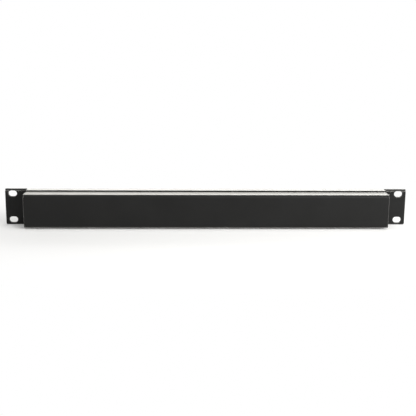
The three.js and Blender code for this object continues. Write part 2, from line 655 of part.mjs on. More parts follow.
function latch() {
  const front = -FLANGE_THICKNESS - LATCH_PROUD;
  const back = -LATCH_TRAVEL - RUNNING;
  const top = LATCH_BOTTOM + LATCH_TAB_HEIGHT;
  const ridgeStep = LATCH_TAB_HEIGHT / (LATCH_RIDGES + 1);
  const ridged = [];
  for (let i = 0; i < LATCH_RIDGES; i += 1) {
    const z = top - ridgeStep * (i + 0.5);
    ridged.push(new THREE.Vector2(front, z));
    ridged.push(new THREE.Vector2(front + LATCH_RIDGE_DEPTH, z - ridgeStep / 2));
  }
  const tab = alongX([
    new THREE.Vector2(front + LATCH_RIDGE_DEPTH, top),
    ...ridged,
    new THREE.Vector2(front, LATCH_BOTTOM + ridgeStep / 2),
    new THREE.Vector2(front + LATCH_RIDGE_DEPTH, LATCH_BOTTOM),
    new THREE.Vector2(back, LATCH_BOTTOM),
    new THREE.Vector2(back, top),
  ], -LATCH_TAB_WIDTH / 2, LATCH_TAB_WIDTH / 2);
  const stem = box(
    -LATCH_STEM_WIDTH / 2,
    LATCH_STEM_WIDTH / 2,
    back - RUNNING,
    LATCH_REACH,
    LATCH_BOTTOM,
    LATCH_BOTTOM + LATCH_STEM_THICKNESS,
  );
  const toothFoot = (LINER_DIAMETER + SOCKET_BORE) / 4 - RUNNING;
  const tooth = alongX([
    new THREE.Vector2(LATCH_REACH - LATCH_TOOTH_LENGTH, LATCH_BOTTOM + LATCH_STEM_THICKNESS / 2),
    new THREE.Vector2(LATCH_REACH - LATCH_TOOTH_LENGTH / 2, toothFoot),
    new THREE.Vector2(LATCH_REACH, toothFoot),
    new THREE.Vector2(LATCH_REACH, LATCH_BOTTOM + LATCH_STEM_THICKNESS / 2),
  ], -LATCH_TOOTH_WIDTH / 2, LATCH_TOOTH_WIDTH / 2);
  return joined([stem, tab, tooth]);
}

const PLUG_FLOOR = PLUG_DEPTH - FLANGE_THICKNESS;

function maleShell() {
  const bore = alongY(
    circle(0, 0, PLUG_BORE, BARREL_FACETS),
    -FLANGE_THICKNESS - OVERCUT,
    BARREL_DEPTH + OVERCUT,
  );
  const catchNotch = box(
    -CATCH_WIDTH / 2,
    CATCH_WIDTH / 2,
    -FLANGE_THICKNESS - OVERCUT,
    -FLANGE_THICKNESS + CATCH_DEPTH,
    0,
    (PLUG_BORE + BARREL_DIAMETER) / 4,
  );
  const key = box(
    -KEY_WIDTH / 2,
    KEY_WIDTH / 2,
    -FLANGE_THICKNESS + KEY_START,
    PLUG_FLOOR - FIT,
    PLUG_BORE / 2 - KEY_HEIGHT,
    (PLUG_BORE + BARREL_DIAMETER) / 4,
  );
  return cutBy(connectorBlank(), [bore, catchNotch]).add(key);
}

function maleInsert() {
  const post = alongY(circle(0, 0, PLUG_BORE - 2 * FIT, LINER_FACETS), PLUG_FLOOR, BOARD_DEPTH);
  const collar = alongY(circle(0, 0, COLLAR_DIAMETER, LINER_FACETS), BARREL_DEPTH, BOARD_DEPTH);
  const holes = contactPlaces().map(([x, z]) => alongY(
    circle(x, z, PIN_DIAMETER + 2 * FIT, TINY_FACETS),
    PLUG_FLOOR - OVERCUT,
    BOARD_DEPTH + OVERCUT,
  ));
  return cutBy(joined([post, collar]), holes);
}

function contactPin() {
  const radius = PIN_DIAMETER / 2;
  const tip = -FLANGE_THICKNESS + PIN_RECESS;
  return turned([
    [0, tip],
    [radius - PIN_TIP, tip],
    [radius, tip + PIN_TIP],
    [radius, BOARD_DEPTH],
    [0, BOARD_DEPTH],
  ], SMALL_FACETS);
}

// Mains inlet, centred on its flange, panel front at y = 0
function recessOutline() {
  const x = RECESS_WIDTH / 2;
  const bottom = RECESS_MIDDLE - RECESS_HEIGHT / 2;
  const top = RECESS_MIDDLE + RECESS_HEIGHT / 2;
  return [
    new THREE.Vector2(-x, bottom),
    new THREE.Vector2(x, bottom),
    new THREE.Vector2(x, top - RECESS_CHAMFER),
    new THREE.Vector2(x - RECESS_CHAMFER, top),
    new THREE.Vector2(-x + RECESS_CHAMFER, top),
    new THREE.Vector2(-x, top - RECESS_CHAMFER),
  ];
}

const blades = [
  { name: 'mains_inlet_live_blade', x: BLADE_SPREAD / 2, z: RECESS_MIDDLE - BLADE_OFFSET, extra: 0 },
  { name: 'mains_inlet_neutral_blade', x: -BLADE_SPREAD / 2, z: RECESS_MIDDLE - BLADE_OFFSET, extra: 0 },
  { name: 'mains_inlet_earth_blade', x: 0, z: RECESS_MIDDLE + BLADE_OFFSET, extra: EARTH_EXTRA },
];

function inletBody() {
  const flange = alongY(
    roundedRectangle(0, 0, INLET_FLANGE_WIDTH, INLET_FLANGE_HEIGHT, INLET_FLANGE_CORNER),
    -INLET_FLANGE_THICKNESS,
    0,
  );
  const body = box(
    -INLET_BODY_WIDTH / 2,
    INLET_BODY_WIDTH / 2,
    -INLET_FLANGE_THICKNESS / 2,
    INLET_BODY_DEPTH,
    -INLET_BODY_HEIGHT / 2,
    INLET_BODY_HEIGHT / 2,
  );
  const recess = alongY(recessOutline(), -INLET_FLANGE_THICKNESS - OVERCUT, RECESS_FLOOR);
  const pocket = box(
    -POCKET_WIDTH / 2,
    POCKET_WIDTH / 2,
    -INLET_FLANGE_THICKNESS - OVERCUT,
    DRAWER_DEPTH - INLET_FLANGE_THICKNESS + RUNNING,
    POCKET_MIDDLE - POCKET_HEIGHT / 2,
    POCKET_MIDDLE + POCKET_HEIGHT / 2,
  );
  const screws = [-1, 1].map((side) => alongY(
    circle(side * INLET_SCREW_SPACING / 2, 0, INLET_SCREW_HOLE, TINY_FACETS),
    -INLET_FLANGE_THICKNESS - OVERCUT,
    OVERCUT,
  ));
  const bladeHoles = blades.map(({ x, z }) => box(
    x - BLADE_THICKNESS / 2 - FIT,
    x + BLADE_THICKNESS / 2 + FIT,
    RECESS_FLOOR - OVERCUT,
    INLET_BODY_DEPTH + OVERCUT,
    z - BLADE_HEIGHT / 2 - FIT,
    z + BLADE_HEIGHT / 2 + FIT,
  ));
  return cutBy(joined([flange, body]), [recess, pocket, ...screws, ...bladeHoles]);
}

// A blade with its pointed nose in the recess and its push-on tab behind the body
function inletBlade(extra) {
  const tip = RECESS_FLOOR - BLADE_LENGTH - extra;
  const half = BLADE_HEIGHT / 2;
  const nose = BLADE_THICKNESS / 2;
  const blade = alongX([
    new THREE.Vector2(tip, -half + nose),
    new THREE.Vector2(tip + nose, -half),
    new THREE.Vector2(INLET_BODY_DEPTH + FIT, -half),
    new THREE.Vector2(INLET_BODY_DEPTH + FIT, half),
    new THREE.Vector2(tip + nose, half),
    new THREE.Vector2(tip, half - nose),
  ], -BLADE_THICKNESS / 2, BLADE_THICKNESS / 2);
  const tab = box(
    -TAB_THICKNESS / 2,
    TAB_THICKNESS / 2,
    INLET_BODY_DEPTH + FIT / 2,
    INLET_BODY_DEPTH + TAB_LENGTH,
    -TAB_WIDTH / 2,
    TAB_WIDTH / 2,
  );
  return joined([blade, tab]);
}

const FUSE_DEPTH = DRAWER_DEPTH / 2 - INLET_FLANGE_THICKNESS + DRAWER_PROUD;

function fuseDrawer() {
  const front = -INLET_FLANGE_THICKNESS - DRAWER_PROUD;
  const half = DRAWER_HEIGHT / 2;
  const tray = box(
    -DRAWER_WIDTH / 2,
    DRAWER_WIDTH / 2,
    front,
    DRAWER_DEPTH - INLET_FLANGE_THICKNESS,
    -half,
    half,
  );
  const reach = FUSE_DIAMETER / 2 + RUNNING;
  const trough = box(
    -FUSE_LENGTH / 2 - RUNNING,
    FUSE_LENGTH / 2 + RUNNING,
    FUSE_DEPTH - reach,
    FUSE_DEPTH + reach,
    -reach,
    half + OVERCUT,
  );
  const grip = box(
    -DRAWER_GRIP_WIDTH / 2,
    DRAWER_GRIP_WIDTH / 2,
    front - OVERCUT,
    front + DRAWER_GRIP_DEPTH,
    -half - OVERCUT,
    -half + DRAWER_GRIP_DEPTH,
  );
  return cutBy(tray, [trough, grip]);
}

function fuse() {
  const cap = FUSE_DIAMETER / 2;
  const glass = cap - FUSE_CAP_STEP;
  const end = FUSE_LENGTH / 2;
  return turned([
    [0, -end],
    [cap, -end],
    [cap, -end + FUSE_CAP],
    [glass, -end + FUSE_CAP],
    [glass, end - FUSE_CAP],
    [cap, end - FUSE_CAP],
    [cap, end],
    [0, end],
  ], SMALL_FACETS);
}

// Rocker switch, centred on its bezel, panel front at y = 0
function rockerOutline() {
  const horn = THREE.MathUtils.degToRad(ROCKER_HORN_ANGLE);
  const hornY = -ROCKER_RADIUS * Math.cos(horn);
  return [
    new THREE.Vector2(hornY + ROCKER_DISH, 0),
    ...arc(0, 0, ROCKER_RADIUS, 180 + ROCKER_HORN_ANGLE, 180 + ROCKER_HEEL_ANGLE, BEND_STEPS),
    ...arc(0, 0, ROCKER_RADIUS, 180 - ROCKER_HEEL_ANGLE, 180 - ROCKER_HORN_ANGLE, BEND_STEPS),
  ];
}

function switchRocker() {
  const body = alongX(rockerOutline(), -ROCKER_WIDTH / 2, ROCKER_WIDTH / 2);
  const reach = ROCKER_WIDTH / 2 + TRUNNION_LENGTH;
  const trunnions = alongX(circle(0, 0, TRUNNION_DIAMETER, SMALL_FACETS), -reach, reach);
  return joined([body, trunnions]);
}

function switchFrame() {
  const bezel = alongY(
    roundedRectangle(0, 0, BEZEL_WIDTH, BEZEL_HEIGHT, BEZEL_CORNER),
    -BEZEL_THICKNESS,
    0,
  );
  const body = box(
    -SWITCH_BODY_WIDTH / 2,
    SWITCH_BODY_WIDTH / 2,
    -BEZEL_THICKNESS / 2,
    SWITCH_DEPTH,
    -SWITCH_BODY_HEIGHT / 2,
    SWITCH_BODY_HEIGHT / 2,
  );
  const lowestHeel = THREE.MathUtils.degToRad(ROCKER_HEEL_ANGLE + ROCKER_TILT);
  const windowEnd = ROCKER_PIVOT_DEPTH - ROCKER_RADIUS * Math.cos(lowestHeel);
  const window = box(
    -WINDOW_WIDTH / 2,
    WINDOW_WIDTH / 2,
    -BEZEL_THICKNESS - OVERCUT,
    windowEnd + RUNNING,
    -WINDOW_HEIGHT / 2,
    WINDOW_HEIGHT / 2,
  );
  const pivot = alongX(
    circle(ROCKER_PIVOT_DEPTH, 0, TRUNNION_DIAMETER + 2 * RUNNING, SMALL_FACETS),
    -SWITCH_BODY_WIDTH / 2 - OVERCUT,
    SWITCH_BODY_WIDTH / 2 + OVERCUT,
  );
  const tabs = [-1, 0, 1].map((step) => box(
    -TAB_WIDTH / 2,
    TAB_WIDTH / 2,
    SWITCH_DEPTH - SWITCH_WALL,
    SWITCH_DEPTH + TAB_LENGTH,
    step * SWITCH_TAB_PITCH - TAB_THICKNESS / 2,
    step * SWITCH_TAB_PITCH + TAB_THICKNESS / 2,
  ));
  return cutBy(joined([bezel, body, ...tabs]), [window, pivot]);
}

// Main board with a line driver behind each output
function mainBoard() {
  const rear = BOARD_DEPTH + BOARD_THICKNESS;
  const board = box(BOARD_LEFT, BOARD_RIGHT, BOARD_DEPTH, rear, BOARD_BOTTOM, BOARD_TOP);
  const drivers = connectors.map((x) => box(
    x - DRIVER_WIDTH / 2,
    x + DRIVER_WIDTH / 2,
    rear - BOARD_THICKNESS / 2,
    rear + DRIVER_THICKNESS,
    PANEL_MIDDLE + COLLAR_DIAMETER / 2,
    PANEL_MIDDLE + COLLAR_DIAMETER / 2 + DRIVER_HEIGHT,
  ));
  const holes = standoffs.map(([x, z]) => alongY(
    circle(x, z, STANDOFF_SCREW_HOLE, TINY_FACETS),
    BOARD_DEPTH - OVERCUT,
    rear + OVERCUT,
  ));
  return cutBy(joined([board, ...drivers]), holes);
}

const STANDOFF_CORNERS = STANDOFF_FLATS / Math.cos(Math.PI / HEX_SIDES);

function standoff() {
  return alongY(circle(0, 0, STANDOFF_CORNERS, HEX_SIDES), PANEL_REAR, BOARD_DEPTH);
}

function powerTransformer() {
  const front = BOARD_DEPTH - TRANSFORMER_DEPTH;
  const bobbin = box(
    -TRANSFORMER_WIDTH / 2 + BOBBIN_INSET,
    TRANSFORMER_WIDTH / 2 - BOBBIN_INSET,
    front + BOBBIN_SETBACK,
    BOARD_DEPTH,
    -TRANSFORMER_HEIGHT / 2,
    TRANSFORMER_HEIGHT / 2,
  );
  const core = box(
    -TRANSFORMER_WIDTH / 2,
    TRANSFORMER_WIDTH / 2,
    front,
    BOARD_DEPTH - CORE_STANDOFF,
    -TRANSFORMER_CORE / 2,
    TRANSFORMER_CORE / 2,
  );
  return joined([bobbin, core]);
}

function capacitor(diameter, length) {
  const radius = diameter / 2;
  const front = BOARD_DEPTH - length;
  const groove = BOARD_DEPTH - CAPACITOR_FOOT;
  return turned([
    [0, front],
    [radius - CAPACITOR_BEAD, front],
    [radius, front + CAPACITOR_BEAD],
    [radius, groove - 2 * CAPACITOR_BEAD],
    [radius - CAPACITOR_BEAD, groove - CAPACITOR_BEAD],
    [radius, groove],
    [radius, BOARD_DEPTH],
    [0, BOARD_DEPTH],
  ], CAPACITOR_FACETS);
}

// A clear rod from the board to its domed end in front of the panel
function lightPipe() {
  const radius = LIGHT_DIAMETER / 2;
  return turned([
    [0, -LIGHT_PROUD],
    [LIGHT_DOME_FLAT / 2, -LIGHT_PROUD + LIGHT_DOME_STEP],
    [radius, 0],
    [radius, BOARD_DEPTH],
    [0, BOARD_DEPTH],
  ], SMALL_FACETS);
}

// Assembly

place('front_panel', geometryOf(frontPanel()), blackCoat, unit);
place('rear_housing', geometryOf(rearHousing()), blackCoat, unit);
place('main_board', geometryOf(mainBoard()), greenBoard, unit);

const standoffGeometry = geometryOf(standoff());
standoffs.forEach(([x, z], i) => {
  place(`board_standoff_${i + 1}`, standoffGeometry, nickelBrass, unit, x, 0, z);
});

const input = new THREE.Group();
input.position.set(INPUT_X, 0, PANEL_MIDDLE);
unit.add(input);
place('dmx_input_shell', geometryOf(maleShell()), connectorBlack, input);
place('dmx_input_insert', geometryOf(maleInsert()), mouldedBlack, input);
const pinGeometry = geometryOf(contactPin());
contactPlaces().forEach(([x, z], i) => {
  place(`dmx_input_pin_${i + 1}`, pinGeometry, silverContact, input, x, 0, z);
});

const femaleShellGeometry = geometryOf(femaleShell());
const femaleLinerGeometry = geometryOf(femaleLiner());
const latchGeometry = geometryOf(latch());
const females = [
  { name: 'dmx_link', x: LINK_X },
  ...outputs.map((x, i) => ({ name: `dmx_output_${i + 1}`, x })),
];
for (const { name, x } of females) {
  const connector = new THREE.Group();
  connector.position.set(x, 0, PANEL_MIDDLE);
  unit.add(connector);
  place(`${name}_shell`, femaleShellGeometry, connectorBlack, connector);
  place(`${name}_insert`, femaleLinerGeometry, mouldedBlack, connector);
  place(`${name}_latch`, latchGeometry, latchBlack, connector);
}

const inlet = new THREE.Group();
inlet.position.set(INLET_X, 0, PANEL_MIDDLE);
unit.add(inlet);
place('mains_inlet_body', geometryOf(inletBody()), mouldedBlack, inlet);
for (const { name, x, z, extra } of blades) {
  place(name, geometryOf(inletBlade(extra)), tinnedBrass, inlet, x, 0, z);
}
place('fuse_drawer', geometryOf(fuseDrawer()), mouldedBlack, inlet, 0, 0, POCKET_MIDDLE);
const fuseMesh = place('fuse', geometryOf(fuse()), fuseGlass, inlet, 0, FUSE_DEPTH, POCKET_MIDDLE);
fuseMesh.rotation.z = Math.PI / 2;

const powerSwitch = new THREE.Group();
powerSwitch.position.set(SWITCH_X, 0, PANEL_MIDDLE);
unit.add(powerSwitch);
place('switch_frame', geometryOf(switchFrame()), mouldedBlack, powerSwitch);
const rocker = place('switch_rocker', geometryOf(switchRocker()), mouldedBlack, powerSwitch);
rocker.position.y = ROCKER_PIVOT_DEPTH;
rocker.rotation.x = THREE.MathUtils.degToRad(ROCKER_TILT);

const STANDOFF_LEFT = BOARD_RIGHT - STANDOFF_INSET - STANDOFF_CORNERS / 2;
const CAPACITOR_X = STANDOFF_LEFT - CAPACITOR_GAP - BULK_CAPACITOR_DIAMETER / 2;
const TRANSFORMER_LEFT = LAST_OUTPUT_X + BARREL_DIAMETER / 2 + TRANSFORMER_GAP;
const TRANSFORMER_X = TRANSFORMER_LEFT + TRANSFORMER_WIDTH / 2;
const TRANSFORMER_Z = PANEL_MIDDLE - TRANSFORMER_DROP;
place('power_transformer', geometryOf(powerTransformer()), ferrite, unit, TRANSFORMER_X, 0, TRANSFORMER_Z);
const bulkGeometry = geometryOf(capacitor(BULK_CAPACITOR_DIAMETER, BULK_CAPACITOR_LENGTH));
const MAINS_CAPACITOR_Z = PANEL_MIDDLE + MAINS_CAPACITOR_RISE;
place('mains_capacitor', bulkGeometry, sleeveBlue, unit, CAPACITOR_X, 0, MAINS_CAPACITOR_Z);
const outputGeometry = geometryOf(capacitor(OUTPUT_CAPACITOR_DIAMETER, OUTPUT_CAPACITOR_LENGTH));
const OUTPUT_CAPACITOR_Z = PANEL_MIDDLE - OUTPUT_CAPACITOR_DROP;
place('output_capacitor', outputGeometry, sleeveBlue, unit, CAPACITOR_X, 0, OUTPUT_CAPACITOR_Z);

const pipeGeometry = geometryOf(lightPipe());
for (const { name, x } of lights) {
  place(name, pipeGeometry, clearPipe, unit, x, 0, LIGHT_HEIGHT);
}

unit.position.y = -MIDDLE_DEPTH;

export default unit;
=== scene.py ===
"""Looks of the DMX splitter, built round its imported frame.

Outlines are drawn in millimetres in the panel's own frame: x to the right seen from the front, y from the panel's
front face to the rear, z up from the underside. Meshes are stored in metres in the row frame.
"""

import json
import logging
import math
from dataclasses import dataclass
from enum import Enum
from typing import Sequence

import bmesh
import bpy
from mathutils import Matrix, Vector

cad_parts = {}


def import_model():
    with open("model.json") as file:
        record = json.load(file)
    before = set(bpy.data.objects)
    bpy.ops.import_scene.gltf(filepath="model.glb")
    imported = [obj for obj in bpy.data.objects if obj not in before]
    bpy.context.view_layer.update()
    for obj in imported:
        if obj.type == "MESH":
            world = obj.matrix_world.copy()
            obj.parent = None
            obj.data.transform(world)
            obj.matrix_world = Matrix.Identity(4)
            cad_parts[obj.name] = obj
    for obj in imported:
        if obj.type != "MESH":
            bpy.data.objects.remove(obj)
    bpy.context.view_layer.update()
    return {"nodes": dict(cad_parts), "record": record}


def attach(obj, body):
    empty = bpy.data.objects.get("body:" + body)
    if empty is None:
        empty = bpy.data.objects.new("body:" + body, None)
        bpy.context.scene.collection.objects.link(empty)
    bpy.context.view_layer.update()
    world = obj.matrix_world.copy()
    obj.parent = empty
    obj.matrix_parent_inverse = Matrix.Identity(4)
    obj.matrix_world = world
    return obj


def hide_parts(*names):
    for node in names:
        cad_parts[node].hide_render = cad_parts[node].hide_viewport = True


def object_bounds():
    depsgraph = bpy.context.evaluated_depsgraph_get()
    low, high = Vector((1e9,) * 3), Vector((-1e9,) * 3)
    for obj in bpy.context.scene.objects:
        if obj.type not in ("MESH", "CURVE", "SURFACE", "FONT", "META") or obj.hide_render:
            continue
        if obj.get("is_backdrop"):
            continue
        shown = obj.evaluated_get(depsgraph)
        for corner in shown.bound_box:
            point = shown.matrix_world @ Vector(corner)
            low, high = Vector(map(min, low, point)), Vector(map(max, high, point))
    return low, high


Point = tuple[float, float]
Outline = list[Point]
Color = tuple[float, float, float]
Socket = bpy.types.NodeSocket

LOG = logging.getLogger("splitter")
MILLIMETRE = 0.001
# Gap left between two bodies of one mesh that would otherwise share an edge, in millimetres.
APART = 0.02
# Bends below this angle are shaded smooth, in degrees.
SMOOTH_ANGLE = 34.0
# How far the large faces lead the shading.
FACE_WEIGHT = 80
# Cosines between the real and the rounded normal at which an edge starts to show and is full.
EDGE_START, EDGE_FULL = 0.999, 0.93


class Plane(Enum):
    """The plane an outline is drawn in, and so the way it is drawn out."""

    FRONT = "x and z, drawn out along y"
    END = "y and z, drawn out along x"
    PLAN = "x and y, drawn out along z"


class Join(Enum):
    """How one solid is combined with another."""

    ADD = "UNION"
    CUT = "DIFFERENCE"
    KEEP = "INTERSECT"


@dataclass(frozen=True)
class UnitSizes:
    """Sizes that several sub-assemblies share, in millimetres."""

    width: float = 482.6
    height: float = 43.6
    sheet: float = 1.5
    middle: float = 21.8
    front_in_row: float = -13.35
    housing_width: float = 429.0
    housing_bottom: float = 1.5
    housing_top: float = 41.0
    housing_rear: float = 30.7
    slot_x: float = 232.55
    slot_z: float = 15.875
    slot_length: float = 10.0
    slot_width: float = 7.0
    input_x: float = -194.0
    link_x: float = -164.0
    first_output_x: float = -126.0
    output_pitch: float = 30.0
    output_count: int = 8
    inlet_x: float = 184.0
    switch_x: float = 145.5
    flange_width: float = 26.0
    flange_height: float = 31.0
    flange_thickness: float = 2.4
    flange_corner: float = 3.0
    flange_edge: float = 0.45
    flange_screw_x: float = 9.5
    flange_screw_z: float = 12.0
    flange_screw_hole: float = 3.2
    inlet_thickness: float = 3.0
    inlet_screw_x: float = 20.0
    barrel: float = 23.4
    barrel_depth: float = 18.0
    board_depth: float = 20.5
    contact_radius: float = 3.95
    light_rise: float = 12.0
    light_diameter: float = 3.0

    @property
    def outputs(self) -> list[float]:
        """The x of each output, from left to right."""
        return [self.first_output_x + self.output_pitch * i for i in range(self.output_count)]

    @property
    def connectors(self) -> list[float]:
        """The x of each connector, from left to right."""
        return [self.input_x, self.link_x, *self.outputs]

    @property
    def lights(self) -> list[tuple[str, float]]:
        """The light pipes, from left to right.

        Returns:
            The name and x of each.
        """
        half = self.output_pitch / 2
        outputs = [(f"output_{i + 1}_light_pipe", x - half) for i, x in enumerate(self.outputs)]
        last = self.outputs[-1] + half
        return [("input_light_pipe", self.input_x + half), *outputs, ("power_light_pipe", last)]

    @property
    def screw_places(self) -> list[Point]:
        """The two screws of a connector's flange, from its axis."""
        return [(-self.flange_screw_x, self.flange_screw_z), (self.flange_screw_x, -self.flange_screw_z)]


UNIT = UnitSizes()


# Outlines


def arc(cx: float, cy: float, radius: float, start: float, end: float, steps: int) -> Outline:
    """Points along an arc.

    Args:
        cx: Centre along the outline's first axis.
        cy: Centre along its second axis.
        radius: Radius of the arc.
        start: First angle, in degrees.
        end: Last angle, in degrees.
        steps: Number of steps.

    Returns:
        The points from start to end.
    """
    angles = [math.radians(start + (end - start) * i / steps) for i in range(steps + 1)]
    return [(cx + radius * math.cos(a), cy + radius * math.sin(a)) for a in angles]


def circle(cx: float, cy: float, diameter: float, facets: int = 40) -> Outline:
    """A full circle as an outline.

    Args:
        cx: Centre along the first axis.
        cy: Centre along the second axis.
        diameter: Diameter.
        facets: Number of sides.

    Returns:
        The points, counter-clockwise.
    """
    return arc(cx, cy, diameter / 2, 0, 360 - 360 / facets, facets - 1)


def rectangle(left: float, bottom: float, right: float, top: float) -> Outline:
    """The four corners of a rectangle, counter-clockwise.

    Args:
        left: Lowest first coordinate.
        bottom: Lowest second coordinate.
        right: Highest first coordinate.
        top: Highest second coordinate.

    Returns:
        The corners.
    """
    return [(left, bottom), (right, bottom), (right, top), (left, top)]


def rounded(cx: float, cy: float, width: float, height: float, radius: float, steps: int = 6) -> Outline:
    """A rectangle with round corners.

    Args:
        cx: Centre along the first axis.
        cy: Centre along the second axis.
        width: Size along the first axis.
        height: Size along the second axis.
        radius: Corner radius.
        steps: Steps in each corner.

    Returns:
        The points, counter-clockwise.
    """
    x, y = width / 2 - radius, height / 2 - radius
    corners = [(x, -y, -90), (x, y, 0), (-x, y, 90), (-x, -y, 180)]
    points: Outline = []
    for dx, dy, start in corners:
        points += arc(cx + dx, cy + dy, radius, start, start + 90, steps)
    return points


def obround(cx: float, cy: float, length: float, width: float, steps: int = 16) -> Outline:
    """A slot with round ends, long along the first axis.

    Args:
        cx: Centre along the first axis.
        cy: Centre along the second axis.
        length: Length from end to end.
        width: Width.
        steps: Steps in each round end.

    Returns:
        The points, counter-clockwise.
    """
    reach = (length - width) / 2
    right = arc(cx + reach, cy, width / 2, -90, 90, steps)
    return right + arc(cx - reach, cy, width / 2, 90, 270, steps)


def cross(cx: float, cy: float, reach: float, half: float) -> Outline:
    """The recess of a cross-head screw.

    Args:
        cx: Centre along the first axis.
        cy: Centre along the second axis.
        reach: From the centre to an arm's end.
        half: Half an arm's width.

    Returns:
        The points, counter-clockwise.
    """
    quarter = [(reach, -half), (reach, half), (half, half)]
    points: Outline = []
    for turn in range(4):
        c, s = math.cos(math.pi / 2 * turn), math.sin(math.pi / 2 * turn)
        points += [(cx + x * c - y * s, cy + x * s + y * c) for x, y in quarter]
    return points


def keyhole(diameter: float, half: float, top: float, steps: int = 44) -> Outline:
    """A circle about the origin with a straight-sided window or keyway at its top.

    Args:
        diameter: Diameter of the circle.
        half: Half the window's width.
        top: Height at which the window ends.
        steps: Steps round the circle.

    Returns:
        The points, counter-clockwise.
    """
    lift = math.degrees(math.acos(half / (diameter / 2)))
    return [*arc(0, 0, diameter / 2, 180 - lift, 360 + lift, steps), (half, top), (-half, top)]


# Solids


def place(point: Point, along: float, plane: Plane) -> Vector:
    """A point of an outline in space.

    Args:
        point: The point in its outline.
        along: Where it lies across the outline's plane.
        plane: The outline's plane.

    Returns:
        The point, in millimetres in the panel's frame.
    """
    if plane is Plane.FRONT:
        return Vector((point[0], along, point[1]))
    if plane is Plane.END:
        return Vector((along, point[0], point[1]))
    return Vector((point[0], point[1], along))


def slab(outline: Outline, holes: Sequence[Outline], plane: Plane, start: float, end: float) -> bmesh.types.BMesh:
    """A flat piece with holes.

    Args:
        outline: Outer edge.
        holes: Edges of the holes.
        plane: Plane of the outlines.
        start: Where the piece starts across that plane.
        end: Where it ends.

    Returns:
        A closed mesh.
    """
    mesh = bmesh.new()
    edges = []
    for loop in (outline, *holes):
        verts = [mesh.verts.new(place(p, start, plane)) for p in loop]
        edges += [mesh.edges.new((verts[i - 1], verts[i])) for i in range(len(verts))]
    bmesh.ops.triangle_fill(mesh, use_beauty=True, use_dissolve=False, edges=edges)
    drawn = bmesh.ops.extrude_face_region(mesh, geom=list(mesh.faces), use_keep_orig=True)
    moved = [g for g in drawn["geom"] if isinstance(g, bmesh.types.BMVert)]
    shift = place((0, 0), end, plane) - place((0, 0), start, plane)
    bmesh.ops.translate(mesh, verts=moved, vec=shift)
    bmesh.ops.recalc_face_normals(mesh, faces=list(mesh.faces))
    return mesh


def disc(
    diameter: float, start: float, end: float, holes: Sequence[Outline] = (), facets: int = 40,
) -> bmesh.types.BMesh:
    """A round piece about the y axis, straight from front to rear.

    Args:
        diameter: Diameter.
        start: Where it starts, along y.
        end: Where it ends.
        holes: Edges of the holes through it.
        facets: Facets round the axis.

    Returns:
        A closed mesh.
    """
    return slab(circle(0, 0, diameter, facets), holes, Plane.FRONT, start, end)


def lathe(profile: Sequence[Point], facets: int = 32) -> bmesh.types.BMesh:
    """A round piece about the y axis.

    Args:
        profile: Radius and y of each point, from the front to the rear.
        facets: Facets round the axis.

    Returns:
        A closed mesh.
    """
    mesh = bmesh.new()
    verts = [mesh.verts.new((radius, y, 0)) for radius, y in profile]
    edges = [mesh.edges.new((verts[i], verts[i + 1])) for i in range(len(verts) - 1)]
    bmesh.ops.spin(
        mesh, geom=verts + edges, axis=(0, 1, 0), cent=(0, 0, 0), angle=2 * math.pi, steps=facets, use_merge=True,
    )
    bmesh.ops.remove_doubles(mesh, verts=list(mesh.verts), dist=1e-5)
    bmesh.ops.recalc_face_normals(mesh, faces=list(mesh.faces))
    return mesh


